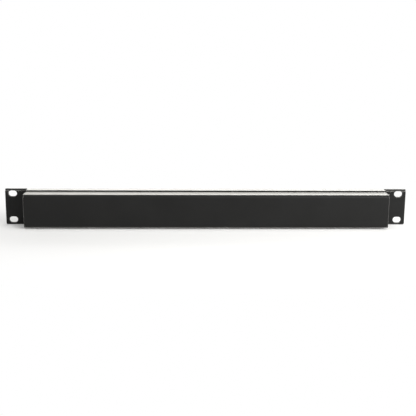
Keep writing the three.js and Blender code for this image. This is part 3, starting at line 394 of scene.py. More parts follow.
class Work:
    """A solid being made, in millimetres in the panel's frame."""

    def __init__(self, name: str, start: bmesh.types.BMesh) -> None:
        """Starts the solid.

        Args:
            name: Name of the piece.
            start: Its first body, which is used up.
        """
        data = bpy.data.meshes.new(name)
        start.to_mesh(data)
        start.free()
        self.object = bpy.data.objects.new(name, data)
        bpy.context.scene.collection.objects.link(self.object)

    def _apply(self) -> None:
        """Turns the modifiers into mesh."""
        bpy.context.view_layer.update()
        graph = bpy.context.evaluated_depsgraph_get()
        made = bpy.data.meshes.new_from_object(self.object.evaluated_get(graph))
        made.name = self.object.name
        self.object.modifiers.clear()
        self.object.data = made

    def combine(self, other: bmesh.types.BMesh, how: Join) -> "Work":
        """Adds another body to the solid, cuts it out or keeps what lies in it.

        Args:
            other: The other body, which is used up.
            how: What is done with it.

        Returns:
            This solid.
        """
        tool = Work("tool", other).object
        modifier = self.object.modifiers.new("combine", "BOOLEAN")
        modifier.operation = how.value
        modifier.solver = "EXACT"
        modifier.object = tool
        self._apply()
        bpy.data.objects.remove(tool)
        return self

    def fuse(self, other: bmesh.types.BMesh) -> "Work":
        """Adds a body that touches this one, as one solid."""
        return self.combine(other, Join.ADD)

    def lay_in(self, other: bmesh.types.BMesh) -> "Work":
        """Adds a body as it is, clear of this one or a hair inside it.

        Args:
            other: The other body, which is used up.

        Returns:
            This solid.
        """
        mesh = bmesh.new()
        mesh.from_mesh(self.object.data)
        extra = bpy.data.meshes.new("extra")
        other.to_mesh(extra)
        other.free()
        mesh.from_mesh(extra)
        mesh.to_mesh(self.object.data)
        mesh.free()
        bpy.data.meshes.remove(extra)
        return self

    def body(self) -> bmesh.types.BMesh:
        """Ends the work and gives the solid as a body for another one.

        Returns:
            The body.
        """
        mesh = bmesh.new()
        mesh.from_mesh(self.object.data)
        bpy.data.objects.remove(self.object)
        return mesh

    def soften(self, width: float, segments: int = 2, angle: float = 40.0) -> "Work":
        """Rounds the sharp edges.

        Args:
            width: Width of the rounding, in millimetres.
            segments: Its steps.
            angle: Edges sharper than this are rounded, in degrees.

        Returns:
            This solid.
        """
        modifier = self.object.modifiers.new("soften", "BEVEL")
        modifier.width = width
        modifier.segments = segments
        modifier.limit_method = "ANGLE"
        modifier.angle_limit = math.radians(angle)
        modifier.use_clamp_overlap = True
        self._apply()
        return self

    def mesh(
        self, x: float = 0.0, y: float = 0.0, z: float = 0.0, turn: Matrix = Matrix.Identity(4),
    ) -> bpy.types.Mesh:
        """Ends the work and gives the mesh, in metres in the row frame.

        Args:
            x: Where the solid's own origin goes, in millimetres in the panel's frame.
            y: The same along y.
            z: The same along z.
            turn: How it is turned about its own origin first.

        Returns:
            The mesh, smooth over its bends and sharp at its edges.
        """
        data = self.object.data
        bpy.data.objects.remove(self.object)
        row = Matrix.Translation(Vector((0, UNIT.front_in_row, 0)) + Vector((x, y, z))) @ turn
        data.transform(Matrix.Scale(MILLIMETRE, 4) @ row)
        data.polygons.foreach_set("use_smooth", [True] * len(data.polygons))
        data.set_sharp_from_angle(angle=math.radians(SMOOTH_ANGLE))
        return data


def show(
    name: str,
    data: bpy.types.Mesh,
    finish: "Finish",
    body: str,
    nodes: Sequence[str] = (),
    x: float = 0.0,
    z: float = 0.0,
) -> bpy.types.Object:
    """Puts a mesh in the scene as a finished piece.

    Args:
        name: Name of the piece.
        data: Its mesh, in the row frame.
        finish: Its finish.
        body: The body that it rides on.
        nodes: The CAD nodes that it stands for.
        x: How far it is moved to the right, in millimetres.
        z: How far it is raised, in millimetres.

    Returns:
        The piece.
    """
    piece = bpy.data.objects.new(name, data)
    bpy.context.scene.collection.objects.link(piece)
    piece.location = (x * MILLIMETRE, 0.0, z * MILLIMETRE)
    if not data.materials:
        data.materials.append(finish.material())
    weigh = piece.modifiers.new("flat_faces_first", "WEIGHTED_NORMAL")
    weigh.keep_sharp = True
    weigh.weight = FACE_WEIGHT
    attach(piece, body)
    if nodes:
        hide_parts(*nodes)
    LOG.info("piece %s on %s", name, body)
    return piece


# Finishes


def times(color: Color, factor: float) -> Color:
    """A colour, made lighter or darker."""
    return tuple(factor * part for part in color)


class Nodes:
    """A material's node tree, built from a clean sheet."""

    def __init__(self, name: str) -> None:
        """Makes the material.

        Args:
            name: Name of the material.
        """
        self.material = bpy.data.materials.new(name)
        self.material.use_nodes = True
        self.tree = self.material.node_tree
        self.tree.nodes.clear()
        self.output = self.add("ShaderNodeOutputMaterial")
        self.shader = self.add("ShaderNodeBsdfPrincipled")
        self.link(self.shader.outputs["BSDF"], self.output.inputs["Surface"])
        lie = self.add("ShaderNodeTexCoord")
        self.place, self.faces = lie.outputs["Object"], lie.outputs["Normal"]

    def add(self, kind: str) -> bpy.types.Node:
        """Adds a node of that kind."""
        return self.tree.nodes.new(kind)

    def link(self, source: Socket, target: Socket) -> None:
        """Links two sockets."""
        self.tree.links.new(source, target)

    def set(self, **values: float | Color) -> None:
        """Sets the shader's own sockets, with underscores for spaces.

        Args:
            **values: The value of each socket.
        """
        for name, value in values.items():
            socket = self.shader.inputs[name.replace("_", " ")]
            socket.default_value = (*value, 1.0) if isinstance(value, tuple) else value

    def stretched(self, scale: Color) -> Socket:
        """Object coordinates, stretched.

        Args:
            scale: Factor along each axis.

        Returns:
            The stretched coordinates.
        """
        mapping = self.add("ShaderNodeMapping")
        mapping.inputs["Scale"].default_value = scale
        self.link(self.place, mapping.inputs["Vector"])
        return mapping.outputs["Vector"]

    def noise(self, grain: float, detail: float = 3.0, where: Socket | None = None) -> Socket:
        """Noise with grains of a given size.

        Args:
            grain: Size of a grain, in millimetres.
            detail: Amount of finer noise.
            where: Coordinates, or the object's own.

        Returns:
            The noise, about 0.5.
        """
        node = self.add("ShaderNodeTexNoise")
        node.inputs["Scale"].default_value = 1000.0 / grain
        node.inputs["Detail"].default_value = detail
        self.link(where or self.place, node.inputs["Vector"])
        return node.outputs["Fac"]

    def pits(self, grain: float) -> Socket:
        """Cells of a given size, as distance from each cell's middle.

        Args:
            grain: Size of a cell, in millimetres.

        Returns:
            The distance.
        """
        node = self.add("ShaderNodeTexVoronoi")
        node.inputs["Scale"].default_value = 1000.0 / grain
        self.link(self.place, node.inputs["Vector"])
        return node.outputs["Distance"]

    def span(self, source: Socket, low: float, high: float, start: float = 0.3, end: float = 0.7) -> Socket:
        """A source's range mapped to another.

        Args:
            source: The source.
            low: Result at start.
            high: Result at end.
            start: Source value for low.
            end: Source value for high.

        Returns:
            The mapped value.
        """
        node = self.add("ShaderNodeMapRange")
        for name, value in (("From Min", start), ("From Max", end), ("To Min", low), ("To Max", high)):
            node.inputs[name].default_value = value
        self.link(source, node.inputs["Value"])
        return node.outputs["Result"]

    def blend(self, factor: Socket, first: Color | Socket, second: Color | Socket) -> Socket:
        """Two colours mixed by a factor.

        Args:
            factor: The factor.
            first: Colour at 0.
            second: Colour at 1.

        Returns:
            The mixed colour.
        """
        node = self.add("ShaderNodeMix")
        node.data_type = "RGBA"
        low, high = (socket for socket in node.inputs if socket.type == "RGBA")
        for socket, color in ((low, first), (high, second)):
            if isinstance(color, bpy.types.NodeSocket):
                self.link(color, socket)
            else:
                socket.default_value = (*color, 1.0)
        self.link(factor, node.inputs["Factor"])
        return next(socket for socket in node.outputs if socket.type == "RGBA")

    def paint(self, factor: Socket, color: Color, gain: float) -> None:
        """Colours the surface, from a colour to a lighter or darker one.

        Args:
            factor: Noise that leads from one to the other.
            color: The colour.
            gain: How many times as bright the other is.
        """
        tint = self.blend(self.span(factor, 0.0, 1.0), color, times(color, gain))
        self.link(tint, self.shader.inputs["Base Color"])

    def roughen(self, factor: Socket, roughness: float, below: float, above: float) -> None:
        """Sets an uneven roughness.

        Args:
            factor: Noise that it follows.
            roughness: Its usual value.
            below: How far it falls below that.
            above: How far it rises above it.
        """
        self.link(self.span(factor, roughness - below, roughness + above), self.shader.inputs["Roughness"])

    def rounded_normal(self, radius: float, samples: int) -> Socket:
        """The normal, as if sharp edges were rounded.

        Args:
            radius: Radius of the edges, in millimetres.
            samples: Rays that look for an edge.

        Returns:
            The normal.
        """
        soft = self.add("ShaderNodeBevel")
        soft.samples = samples
        soft.inputs["Radius"].default_value = radius * MILLIMETRE
        return soft.outputs["Normal"]

    def edges(self, radius: float) -> Socket:
        """How near a sharp edge a point is.

        Args:
            radius: Reach of the edge, in millimetres.

        Returns:
            0 on flat ground, up to 1 on an edge.
        """
        plain = self.add("ShaderNodeNewGeometry")
        dot = self.add("ShaderNodeVectorMath")
        dot.operation = "DOT_PRODUCT"
        self.link(self.rounded_normal(radius, 4), dot.inputs[0])
        self.link(plain.outputs["Normal"], dot.inputs[1])
        return self.span(dot.outputs["Value"], 0.0, 1.0, EDGE_START, EDGE_FULL)

    def relief(self, height: Socket, depth: float, strength: float, rounding: float = 0.0) -> None:
        """Bump from a height, over edges that catch light as if rounded.

        Args:
            height: The height, from 0 to 1.
            depth: Its depth, in millimetres.
            strength: Strength of the bump.
            rounding: Radius of the edges, in millimetres, or 0 for none.
        """
        bump = self.add("ShaderNodeBump")
        bump.inputs["Strength"].default_value = strength
        bump.inputs["Distance"].default_value = depth * MILLIMETRE
        self.link(height, bump.inputs["Height"])
        if rounding > 0:
            self.link(self.rounded_normal(rounding, 6), bump.inputs["Normal"])
        self.link(bump.outputs["Normal"], self.shader.inputs["Normal"])


@dataclass(frozen=True)
class Finish:
    """A finish: the record's material slot and how it looks."""

    name: str
    slot: str

    def material(self) -> bpy.types.Material:
        """The finish's material, made once.

        Returns:
            The material.
        """
        found = bpy.data.materials.get(self.name)
        if found is None:
            nodes = Nodes(self.name)
            self.dress(nodes)
            found = nodes.material
        return found

    def dress(self, nodes: Nodes) -> None:
        """Fills the material's node tree."""
        raise NotImplementedError


@dataclass(frozen=True)
class PowderCoat(Finish):
    """Satin powder coat over sheet steel, with grain sizes in millimetres."""

    color: Color = (0.0044, 0.0044, 0.0043)
    worn: Color = (0.014, 0.014, 0.0135)
    # Colour of the sheet's rear face just behind the panel's front, set lighter than the coat on the front panel.
    back: Color = (0.0044, 0.0044, 0.0043)
    roughness: float = 0.42
    gloss: float = 0.15
    sheen: float = 1.0
    sheen_roughness: float = 0.33
    sheen_tint: Color = (1.0, 0.99, 0.95)
    cloud: float = 38.0
    cloud_gain: float = 1.35
    cloud_gloss: float = 0.03
    speck: float = 0.7
    peel: float = 0.9
    wear: float = 0.25
    edge: float = 0.16
    back_slack: float = 0.2

    def dress(self, nodes: Nodes) -> None:
        """Fine orange peel, faint clouds in the gloss, slightly rubbed edges and a lighter tone on the sheet's rear
        face behind the ears.

        Args:
            nodes: The material's node tree, to be filled.
        """
        nodes.set(
            Metallic=0.0,
            Specular_IOR_Level=self.gloss,
            Sheen_Weight=self.sheen,
            Sheen_Roughness=self.sheen_roughness,
            Sheen_Tint=self.sheen_tint,
        )
        cloud = nodes.noise(self.cloud, detail=4.0)
        speck = nodes.noise(self.speck, detail=2.0)
        tint = nodes.blend(nodes.span(cloud, 0.0, 1.0), self.color, times(self.color, self.cloud_gain))
        # Lighter tone where the sheet faces the rear close behind the panel's front.
        if self.back != self.color:
            tint = nodes.blend(self.behind(nodes), tint, self.back)
        nodes.link(nodes.blend(nodes.edges(self.wear), tint, self.worn), nodes.shader.inputs["Base Color"])
        total = nodes.add("ShaderNodeMath")
        nodes.link(nodes.span(cloud, -self.cloud_gloss, self.cloud_gloss), total.inputs[0])
        nodes.link(nodes.span(speck, self.roughness - 0.04, self.roughness + 0.05), total.inputs[1])
        nodes.link(total.outputs["Value"], nodes.shader.inputs["Roughness"])
        nodes.relief(nodes.noise(self.peel), depth=0.03, strength=0.6, rounding=self.edge)

    def behind(self, nodes: Nodes) -> Socket:
        """Where the sheet faces the rear and lies close behind the panel's front.

        Args:
            nodes: The material's node tree.

        Returns:
            1 there and 0 elsewhere.
        """
        facing = nodes.add("ShaderNodeSeparateXYZ")
        lying = nodes.add("ShaderNodeSeparateXYZ")
        nodes.link(nodes.faces, facing.inputs["Vector"])
        nodes.link(nodes.place, lying.inputs["Vector"])
        both = nodes.add("ShaderNodeMath")
        both.operation = "MULTIPLY"
        edge = (UNIT.front_in_row + UNIT.sheet) * MILLIMETRE
        slack = self.back_slack * MILLIMETRE
        nodes.link(nodes.span(facing.outputs["Y"], 0.0, 1.0, 0.6, 0.9), both.inputs[0])
        nodes.link(nodes.span(lying.outputs["Y"], 1.0, 0.0, edge + slack, edge + 2 * slack), both.inputs[1])
        return both.outputs["Value"]


@dataclass(frozen=True)
class Moulding(Finish):
    """Moulded or die-cast black with a fine texture, in millimetres."""

    color: Color = (0.008, 0.008, 0.008)
    roughness: float = 0.42
    grain: float = 0.35
    depth: float = 0.02
    flow: float = 6.0
    flow_stretch: Color = (1.0, 0.4, 1.0)
    flow_gain: float = 1.5

    def dress(self, nodes: Nodes) -> None:
        """Fine spark-eroded grain and faint flow marks.

        Args:
            nodes: The material's node tree, to be filled.
        """
        nodes.set(Metallic=0.0, Specular_IOR_Level=0.45)
        flow = nodes.noise(self.flow, 2.0, nodes.stretched(self.flow_stretch))
        nodes.paint(flow, self.color, self.flow_gain)
        grain = nodes.noise(self.grain, detail=2.0)
        nodes.roughen(grain, self.roughness, below=0.05, above=0.06)
        nodes.relief(grain, self.depth, strength=0.25)


@dataclass(frozen=True)
class Plating(Finish):
    """Plated or bare metal, with grain sizes in millimetres."""

    color: Color = (0.6, 0.59, 0.56)
    roughness: float = 0.24
    tarnish: float = 3.0
    tarnish_gain: float = 0.82
    lines: float = 0.25
    lines_stretch: Color = (1.0, 0.12, 1.0)

    def dress(self, nodes: Nodes) -> None:
        """Fine drawn lines and slight tarnish.

        Args:
            nodes: The material's node tree, to be filled.
        """
        nodes.set(Metallic=1.0)
        nodes.paint(nodes.noise(self.tarnish), self.color, self.tarnish_gain)
        drawn = nodes.noise(self.lines, 2.0, nodes.stretched(self.lines_stretch))
        nodes.roughen(drawn, self.roughness, below=0.05, above=0.08)
        nodes.relief(drawn, depth=0.01, strength=0.2)


@dataclass(frozen=True)
class CircuitBoard(Finish):
    """Solder mask over copper, with grain sizes in millimetres."""

    mask: Color = (0.012, 0.085, 0.03)
    copper: Color = (0.03, 0.16, 0.06)
    track: float = 4.0
    track_edge: Point = (0.42, 0.48)
    weave: float = 0.8

    def dress(self, nodes: Nodes) -> None:
        """Tracks seen faintly through the mask.

        Args:
            nodes: The material's node tree, to be filled.
        """
        nodes.set(Metallic=0.0, Coat_Weight=0.4, Coat_Roughness=0.15)
        tracks = nodes.span(nodes.pits(self.track), 0.0, 1.0, *self.track_edge)
        nodes.link(nodes.blend(tracks, self.mask, self.copper), nodes.shader.inputs["Base Color"])
        weave = nodes.noise(self.weave, detail=2.0)
        nodes.roughen(weave, 0.35, below=0.0, above=0.15)
        nodes.relief(weave, depth=0.02, strength=0.2)


@dataclass(frozen=True)
class Clear(Finish):
    """Clear moulding or glass, with grain sizes in millimetres."""

    color: Color = (0.86, 0.9, 0.87)
    roughness: float = 0.12
    through: float = 0.75
    haze: float = 1.4
    haze_gain: float = 0.9

    def dress(self, nodes: Nodes) -> None:
        """Clear with a faint haze and flow lines.

        Args:
            nodes: The material's node tree, to be filled.
        """
        nodes.set(Metallic=0.0, Transmission_Weight=self.through, IOR=1.49)
        haze = nodes.noise(self.haze, detail=2.0)
        nodes.paint(haze, self.color, self.haze_gain)
        nodes.roughen(haze, self.roughness, below=0.0, above=0.12)
        nodes.relief(haze, depth=0.01, strength=0.15)


@dataclass(frozen=True)
class Ink(Finish):
    """Screen-printed ink, with grain sizes in millimetres."""

    color: Color = (0.78, 0.78, 0.75)
    grain: float = 0.5
    grain_gain: float = 0.86

    def dress(self, nodes: Nodes) -> None:
        """Slightly uneven cover over a fine grain.

        Args:
            nodes: The material's node tree, to be filled.
        """
        nodes.set(Metallic=0.0)
        cover = nodes.noise(self.grain)
        nodes.paint(cover, self.color, self.grain_gain)
        nodes.roughen(cover, 0.5, below=0.0, above=0.15)
        nodes.relief(cover, depth=0.01, strength=0.2)


COAT = PowderCoat("satin_black_coat", "black_coat")
# The front sheet, lighter on its rear face just behind its front.
PANEL_COAT = PowderCoat("satin_black_panel_coat", "black_coat", back=(0.03, 0.03, 0.029))
SHELL = Moulding("connector_black", "connector_shell", (0.009, 0.009, 0.009), roughness=0.36, grain=0.4, depth=0.015)
MOULDED = Moulding("moulded_black", "moulded_black", (0.007, 0.007, 0.007), roughness=0.46, grain=0.3, depth=0.02)
LATCH = Moulding("latch_black", "latch_black", (0.014, 0.014, 0.014), roughness=0.4, grain=0.35, depth=0.012)
ROCKER = Moulding("rocker_black", "rocker_black", (0.007, 0.007, 0.007), roughness=0.2, grain=0.5, depth=0.006)
SILVER = Plating("silver_contact", "silver_contact", (0.8, 0.78, 0.74), roughness=0.2)
TINNED = Plating("tinned_blade", "tinned_blade", (0.62, 0.61, 0.58), roughness=0.26)
NICKEL = Plating("nickel_standoff", "nickel_standoff", (0.58, 0.55, 0.5), roughness=0.28)
SCREW = Plating("blackened_screw", "connector_shell", (0.045, 0.045, 0.047), roughness=0.34)
BOARD = CircuitBoard("circuit_board", "circuit_board")
TAPE = Moulding("transformer_tape", "transformer_tape", (0.05, 0.05, 0.055), roughness=0.5, grain=0.6, depth=0.03)
SLEEVE = Moulding("capacitor_sleeve", "capacitor_sleeve", (0.018, 0.03, 0.08), roughness=0.25, grain=0.8, depth=0.01)
PIPE = Clear("clear_pipe", "clear_pipe")
FUSE_GLASS = Clear("fuse_glass", "fuse_glass", (0.8, 0.82, 0.8), roughness=0.08, through=0.5)
PRINT = Ink("white_print", "clear_pipe")
FINISHES: tuple[Finish, ...] = (
    COAT, SHELL, MOULDED, LATCH, ROCKER, SILVER, TINNED, NICKEL, BOARD, TAPE, SLEEVE, PIPE, FUSE_GLASS,
)


# Sub-assemblies


@dataclass
class FrontPanel:
    """Front sheet, folded back along its top and bottom edges, with slotted ears."""

    lip_end: float = 13.7
    lip_half: float = 214.0
    bend: float = 2.0
    ear_inner: float = 215.2
    corner: float = 1.0
    barrel_hole: float = 24.0
    light_hole: float = 3.6
    inlet_hole: Point = (28.6, 29.2)
    inlet_hole_corner: float = 1.0
    switch_hole: Point = (14.0, 20.2)
    switch_hole_corner: float = 0.5
    screw_x: tuple[float, ...] = (-190.0, 0.0, 190.0)
    screw_y: float = 7.5
    screw_head: float = 5.4
    screw_core: float = 5.0
    screw_levels: tuple[float, ...] = (0.05, 0.9, 1.4)
    screw_cross: Point = (1.5, 0.35)

    def web(self) -> bmesh.types.BMesh:
        """The flat sheet with its ears and every cut-out.

        Returns:
            The sheet.
        """
        half, top, r = UNIT.width / 2, UNIT.height, self.corner
        right = [
            (self.ear_inner, self.bend),
            *arc(self.ear_inner + r, r, r, 180, 270, 5),
            *arc(half - r, r, r, 270, 360, 5),
            *arc(half - r, top - r, r, 0, 90, 5),
            *arc(self.ear_inner + r, top - r, r, 90, 180, 5),
            (self.ear_inner, top - self.bend),
        ]
        outline = right + [(-x, y) for x, y in reversed(right)]
        lift = UNIT.middle
        holes = [
            obround(sx * UNIT.slot_x, lift + sz * UNIT.slot_z, UNIT.slot_length, UNIT.slot_width)
            for sx in (-1, 1) for sz in (-1, 1)
        ]
        holes += [circle(x, lift, self.barrel_hole) for x in UNIT.connectors]
        holes += [circle(x, lift + UNIT.light_rise, self.light_hole, 24) for _, x in UNIT.lights]
        holes.append(rounded(UNIT.inlet_x, lift, *self.inlet_hole, self.inlet_hole_corner))
        holes.append(rounded(UNIT.switch_x, lift, *self.switch_hole, self.switch_hole_corner))
        return slab(outline, holes, Plane.FRONT, 0, UNIT.sheet)

    def fold(self, top: bool) -> bmesh.types.BMesh:
        """A bend and its lip.

        Args:
            top: Whether it is the top one.

        Returns:
            The folded strip.
        """
        b, t = self.bend, UNIT.sheet
        outer = arc(b, b, b, 180, 270, 8)
        inner = arc(b, b, b - t, 270, 180, 8)
        profile = [*outer, (self.lip_end, 0), (self.lip_end, t), *inner]
        if top:
            profile = [(y, UNIT.height - z) for y, z in reversed(profile)]
        return slab(profile, [], Plane.END, -self.lip_half, self.lip_half)

    def build(self) -> None:
        """Makes the sheet and the screws under its bottom lip."""
        work = Work("front_sheet", self.web())
        for top in (False, True):
            work.combine(self.fold(top), Join.ADD)
        show("front_sheet", work.mesh(), PANEL_COAT, "chassis", ["front_panel"])
        for i, x in enumerate(self.screw_x):
            show(f"base_screw_{i + 1}", self.screw(), SCREW, "chassis", x=x)

    def screw(self) -> bpy.types.Mesh:
        """A screw under the bottom lip, its head down.

        Returns:
            The mesh.
        """
        low, seat, high = self.screw_levels
        head = slab(circle(0, 0, self.screw_head, 28), [cross(0, 0, *self.screw_cross)], Plane.PLAN, low, seat)
        core = slab(circle(0, 0, self.screw_core, 20), [], Plane.PLAN, seat, high)
        return Work("screw", head).fuse(core).mesh(y=self.screw_y)


@dataclass
class RearHousing:
    """Folded rear tray with a rack flange on each end wall."""

    sheet: float = 1.2
    bend: float = 3.2
    corner: float = 1.5
    flange_bend: float = 2.6
    plate_front: float = 2.3
    seam: float = 0.4
    end_overlap: float = 7.8
    slot_margin: float = 0.5
    beyond: float = 1.0
    steps: int = 12

    def outside(self, front: float) -> Outline:
        """The tray's outer side, open to the front.

        Args:
            front: Where it starts.

        Returns:
            The points from the bottom round the back to the top.
        """
        b, low, high, rear = self.bend, UNIT.housing_bottom, UNIT.housing_top, UNIT.housing_rear
        return [
            (front, low),
            *arc(rear - b, low + b, b, -90, 0, self.steps),
            *arc(rear - b, high - b, b, 0, 90, self.steps),
            (front, high),
        ]

    def wrap(self) -> bmesh.types.BMesh:
        """Top, back and bottom in one bent sheet.

        Returns:
            The sheet.
        """
        b, i = self.bend, self.bend - self.sheet
        low, high, rear = UNIT.housing_bottom, UNIT.housing_top, UNIT.housing_rear
        profile = [
            *self.outside(self.plate_front),
            (self.plate_front, high - self.sheet),
            *arc(rear - b, high - b, i, 90, 0, self.steps),
            *arc(rear - b, low + b, i, 0, -90, self.steps),
            (self.plate_front, low + self.sheet),
        ]
        end = UNIT.housing_width / 2 - self.sheet - self.seam
        return slab(profile, [], Plane.END, -end, end)

    def end(self, side: int) -> bmesh.types.BMesh:
        """An end wall with its bend into the back and its flange.

        Args:
            side: -1 for the left end seen from the front, 1 for the right.

        Returns:
            The bent sheet.
        """
        half, rear, front = UNIT.housing_width / 2, UNIT.housing_rear, UNIT.sheet
        c, f, t = self.corner, self.flange_bend, self.sheet
        fx, fy = half - t + f, front + f
        plan = [
            (half - self.end_overlap, rear - t),
            *arc(half - c, rear - c, c - t, 90, 0, self.steps),
            *arc(fx, fy, f, 180, 270, self.steps),
            (UNIT.width / 2, front),
            (UNIT.width / 2, front + t),
            *arc(fx, fy, f - t, 270, 180, self.steps),
            *arc(half - c, rear - c, c, 0, 90, self.steps),
            (half - self.end_overlap, rear),
        ]
        if side < 0:
            plan = [(-x, y) for x, y in reversed(plan)]
        return slab(plan, [], Plane.PLAN, UNIT.housing_bottom, UNIT.housing_top)

    def slot(self, side: int, row: int) -> Outline:
        """The flange's own slot, a little larger than the panel's.

        Args:
            side: -1 for the left end seen from the front, 1 for the right.
            row: -1 for the lower slot, 1 for the upper.

        Returns:
            Its outline.
        """
        x, z, spare = side * UNIT.slot_x, UNIT.middle + row * UNIT.slot_z, 2 * self.slot_margin
        return obround(x, z, UNIT.slot_length + spare, UNIT.slot_width + spare)

    def build(self) -> None:
        """Makes the tray."""
        half, b, beyond = UNIT.housing_width / 2, self.bend, self.beyond
        rear, low, high = UNIT.housing_rear, UNIT.housing_bottom, UNIT.housing_top
        work = Work("housing", self.wrap())
        for side in (-1, 1):
            end = Work("end", self.end(side))
            left, right = sorted((side * (half - self.end_overlap - beyond), side * (half - self.sheet)))
            tab = rectangle(left, rear - b, right, rear + beyond)
            for start, stop in ((low - beyond, low + b), (high - b, high + beyond)):
                end.combine(slab(tab, [], Plane.PLAN, start, stop), Join.CUT)
            end.combine(slab(self.outside(0.0), [], Plane.END, -UNIT.width, UNIT.width), Join.KEEP)
            for row in (-1, 1):
                end.combine(slab(self.slot(side, row), [], Plane.FRONT, 0, self.end_overlap), Join.CUT)
            work.fuse(end.body())
        show("housing", work.mesh(), COAT, "chassis", ["rear_housing"])


CONTACTS: list[Point] = [
    (-UNIT.contact_radius, 0.0), (UNIT.contact_radius, 0.0), (0.0, -UNIT.contact_radius),
]


def connector_flange(name: str, hole: Outline) -> Work:
    """The D-size flange of a connector.

    Args:
        name: Name of the mesh that starts with it.
        hole: Edge of its large hole.

    Returns:
        The flange, to be worked on.
    """
    screws = [circle(x, z, UNIT.flange_screw_hole, facets=20) for x, z in UNIT.screw_places]
    edge = rounded(0, 0, UNIT.flange_width, UNIT.flange_height, UNIT.flange_corner)
    work = Work(name, slab(edge, [hole, *screws], Plane.FRONT, -UNIT.flange_thickness, 0))
    return work.soften(UNIT.flange_edge, segments=3)


@dataclass(frozen=True)
class Latch:
    """A socket's sliding latch: ridged thumb tab, stem and the tooth that holds a plug."""

    low: float = 9.85
    top: float = 13.25
    front: float = -4.0
    rear: float = -1.7
    half_width: float = 3.5
    edge: float = 0.2
    foot: float = 0.5
    ridges: int = 4
    ridge_radius: float = 0.42
    ridge_inset: float = 0.35
    ridge_pitch: float = 0.85
    stem_front: float = -2.0
    stem_rear: float = 10.0
    stem_height: float = 1.3
    stem_half: float = 2.5
    tooth_front: float = 7.8
    tooth_slope: float = 1.1
    tooth_low: float = 8.45
    tooth_half: float = 1.5

    def mesh(self) -> bpy.types.Mesh:
        """The latch at rest.

        Returns:
            The mesh.
        """
        ridges: Outline = []
        for i in range(self.ridges):
            z = self.top - self.ridge_inset - self.ridge_pitch * i
            ridges += arc(self.front + self.ridge_radius, z, self.ridge_radius, 120, 240, 4)
        foot, root = self.front + self.foot, self.low + self.stem_height / 2
        tab = [(self.rear, self.low), (self.rear, self.top), (foot, self.top), *ridges, (foot, self.low)]
        stem = rectangle(self.stem_front, self.low, self.stem_rear, self.low + self.stem_height)
        tooth = [
            (self.tooth_front, root),
            (self.tooth_front + self.tooth_slope, self.tooth_low),
            (self.stem_rear, self.tooth_low),
            (self.stem_rear, root),
        ]
        work = Work("latch", slab(tab, [], Plane.END, -self.half_width, self.half_width))
        work.soften(self.edge, angle=50)
        work.lay_in(slab(stem, [], Plane.END, -self.stem_half, self.stem_half))
        work.lay_in(slab(tooth, [], Plane.END, -self.tooth_half, self.tooth_half))
        return work.mesh(z=UNIT.middle)


@dataclass
class SocketConnector:
    """Female three-contact connector on a D-size flange, with its latch."""

    name: str
    x: float
    bore: float = 19.4
    liner: float = 15.6
    liner_gap: float = 0.6
    window_half: float = 3.8
    window_top: float = 13.55
    channel_inset: float = 1.0
    channel_wall: float = 0.2
    slot_end: float = 11.7
    rear_inset: float = 0.04
    face: float = -1.6
    face_edge: float = 0.25
    carrier_step: float = 9.4
    contact_hole: float = 2.9
    sleeve_gap: float = 0.1
    sleeve_bore: float = 2.2
    sleeve_ends: Point = (-0.4, 9.3)
    key_half: float = 1.3
    key_depth: float = 1.4

    def shell(self) -> bpy.types.Mesh:
        """The flange with its latch window and the barrel behind it.

        Returns:
            The mesh.
        """
        work = connector_flange("shell", keyhole(self.bore, self.window_half, self.window_top))
        narrow, roof = self.window_half - self.channel_inset, UNIT.barrel / 2 - self.channel_wall
        channel = keyhole(self.bore, narrow, roof)
        work.lay_in(disc(UNIT.barrel, APART, self.slot_end, [channel], facets=48))
        inset, step = self.rear_inset, circle(0, 0, self.liner + self.liner_gap)
        work.lay_in(disc(UNIT.barrel - inset, self.slot_end - inset, UNIT.barrel_depth, [step], facets=48))
        return work.mesh(z=UNIT.middle)

    def insert(self) -> bpy.types.Mesh:
        """The contact carrier with its keyway.

        Returns:
            The mesh.
        """
        edge = keyhole(self.liner, self.key_half, self.liner / 2 - self.key_depth, steps=40)
        holes = [circle(x, z, self.contact_hole, 24) for x, z in CONTACTS]
        work = Work("insert", slab(edge, holes, Plane.FRONT, self.face, self.carrier_step)).soften(self.face_edge)
        work.lay_in(disc(self.liner, self.carrier_step, UNIT.board_depth))
        return work.mesh(z=UNIT.middle)

    def contacts(self) -> bpy.types.Mesh:
        """The three spring sleeves in the holes.

        Returns:
            The mesh.
        """
        outer = self.contact_hole - self.sleeve_gap
        sleeves = [
            slab(circle(x, z, outer, 20), [circle(x, z, self.sleeve_bore, 20)], Plane.FRONT, *self.sleeve_ends)
            for x, z in CONTACTS
        ]
        work = Work("contacts", sleeves[0])
        for sleeve in sleeves[1:]:
            work.lay_in(sleeve)
        return work.mesh(z=UNIT.middle)

    def build(self, kit: dict[str, bpy.types.Mesh]) -> None:
        """Makes the connector from meshes that all of its kind share.

        Args:
            kit: The shared meshes, filled by the first connector.
        """
        if not kit:
            kit.update(shell=self.shell(), insert=self.insert(), contacts=self.contacts(), latch=Latch().mesh())
        node = f"dmx_{self.name}"
        show(f"{self.name}_flange", kit["shell"], SHELL, "chassis", [f"{node}_shell"], self.x)
        show(f"{self.name}_carrier", kit["insert"], MOULDED, "chassis", [f"{node}_insert"], self.x)
        show(f"{self.name}_contacts", kit["contacts"], SILVER, "chassis", x=self.x)
        show(f"{self.name}_release", kit["latch"], LATCH, f"{self.name}_latch", [f"{node}_latch"], self.x)


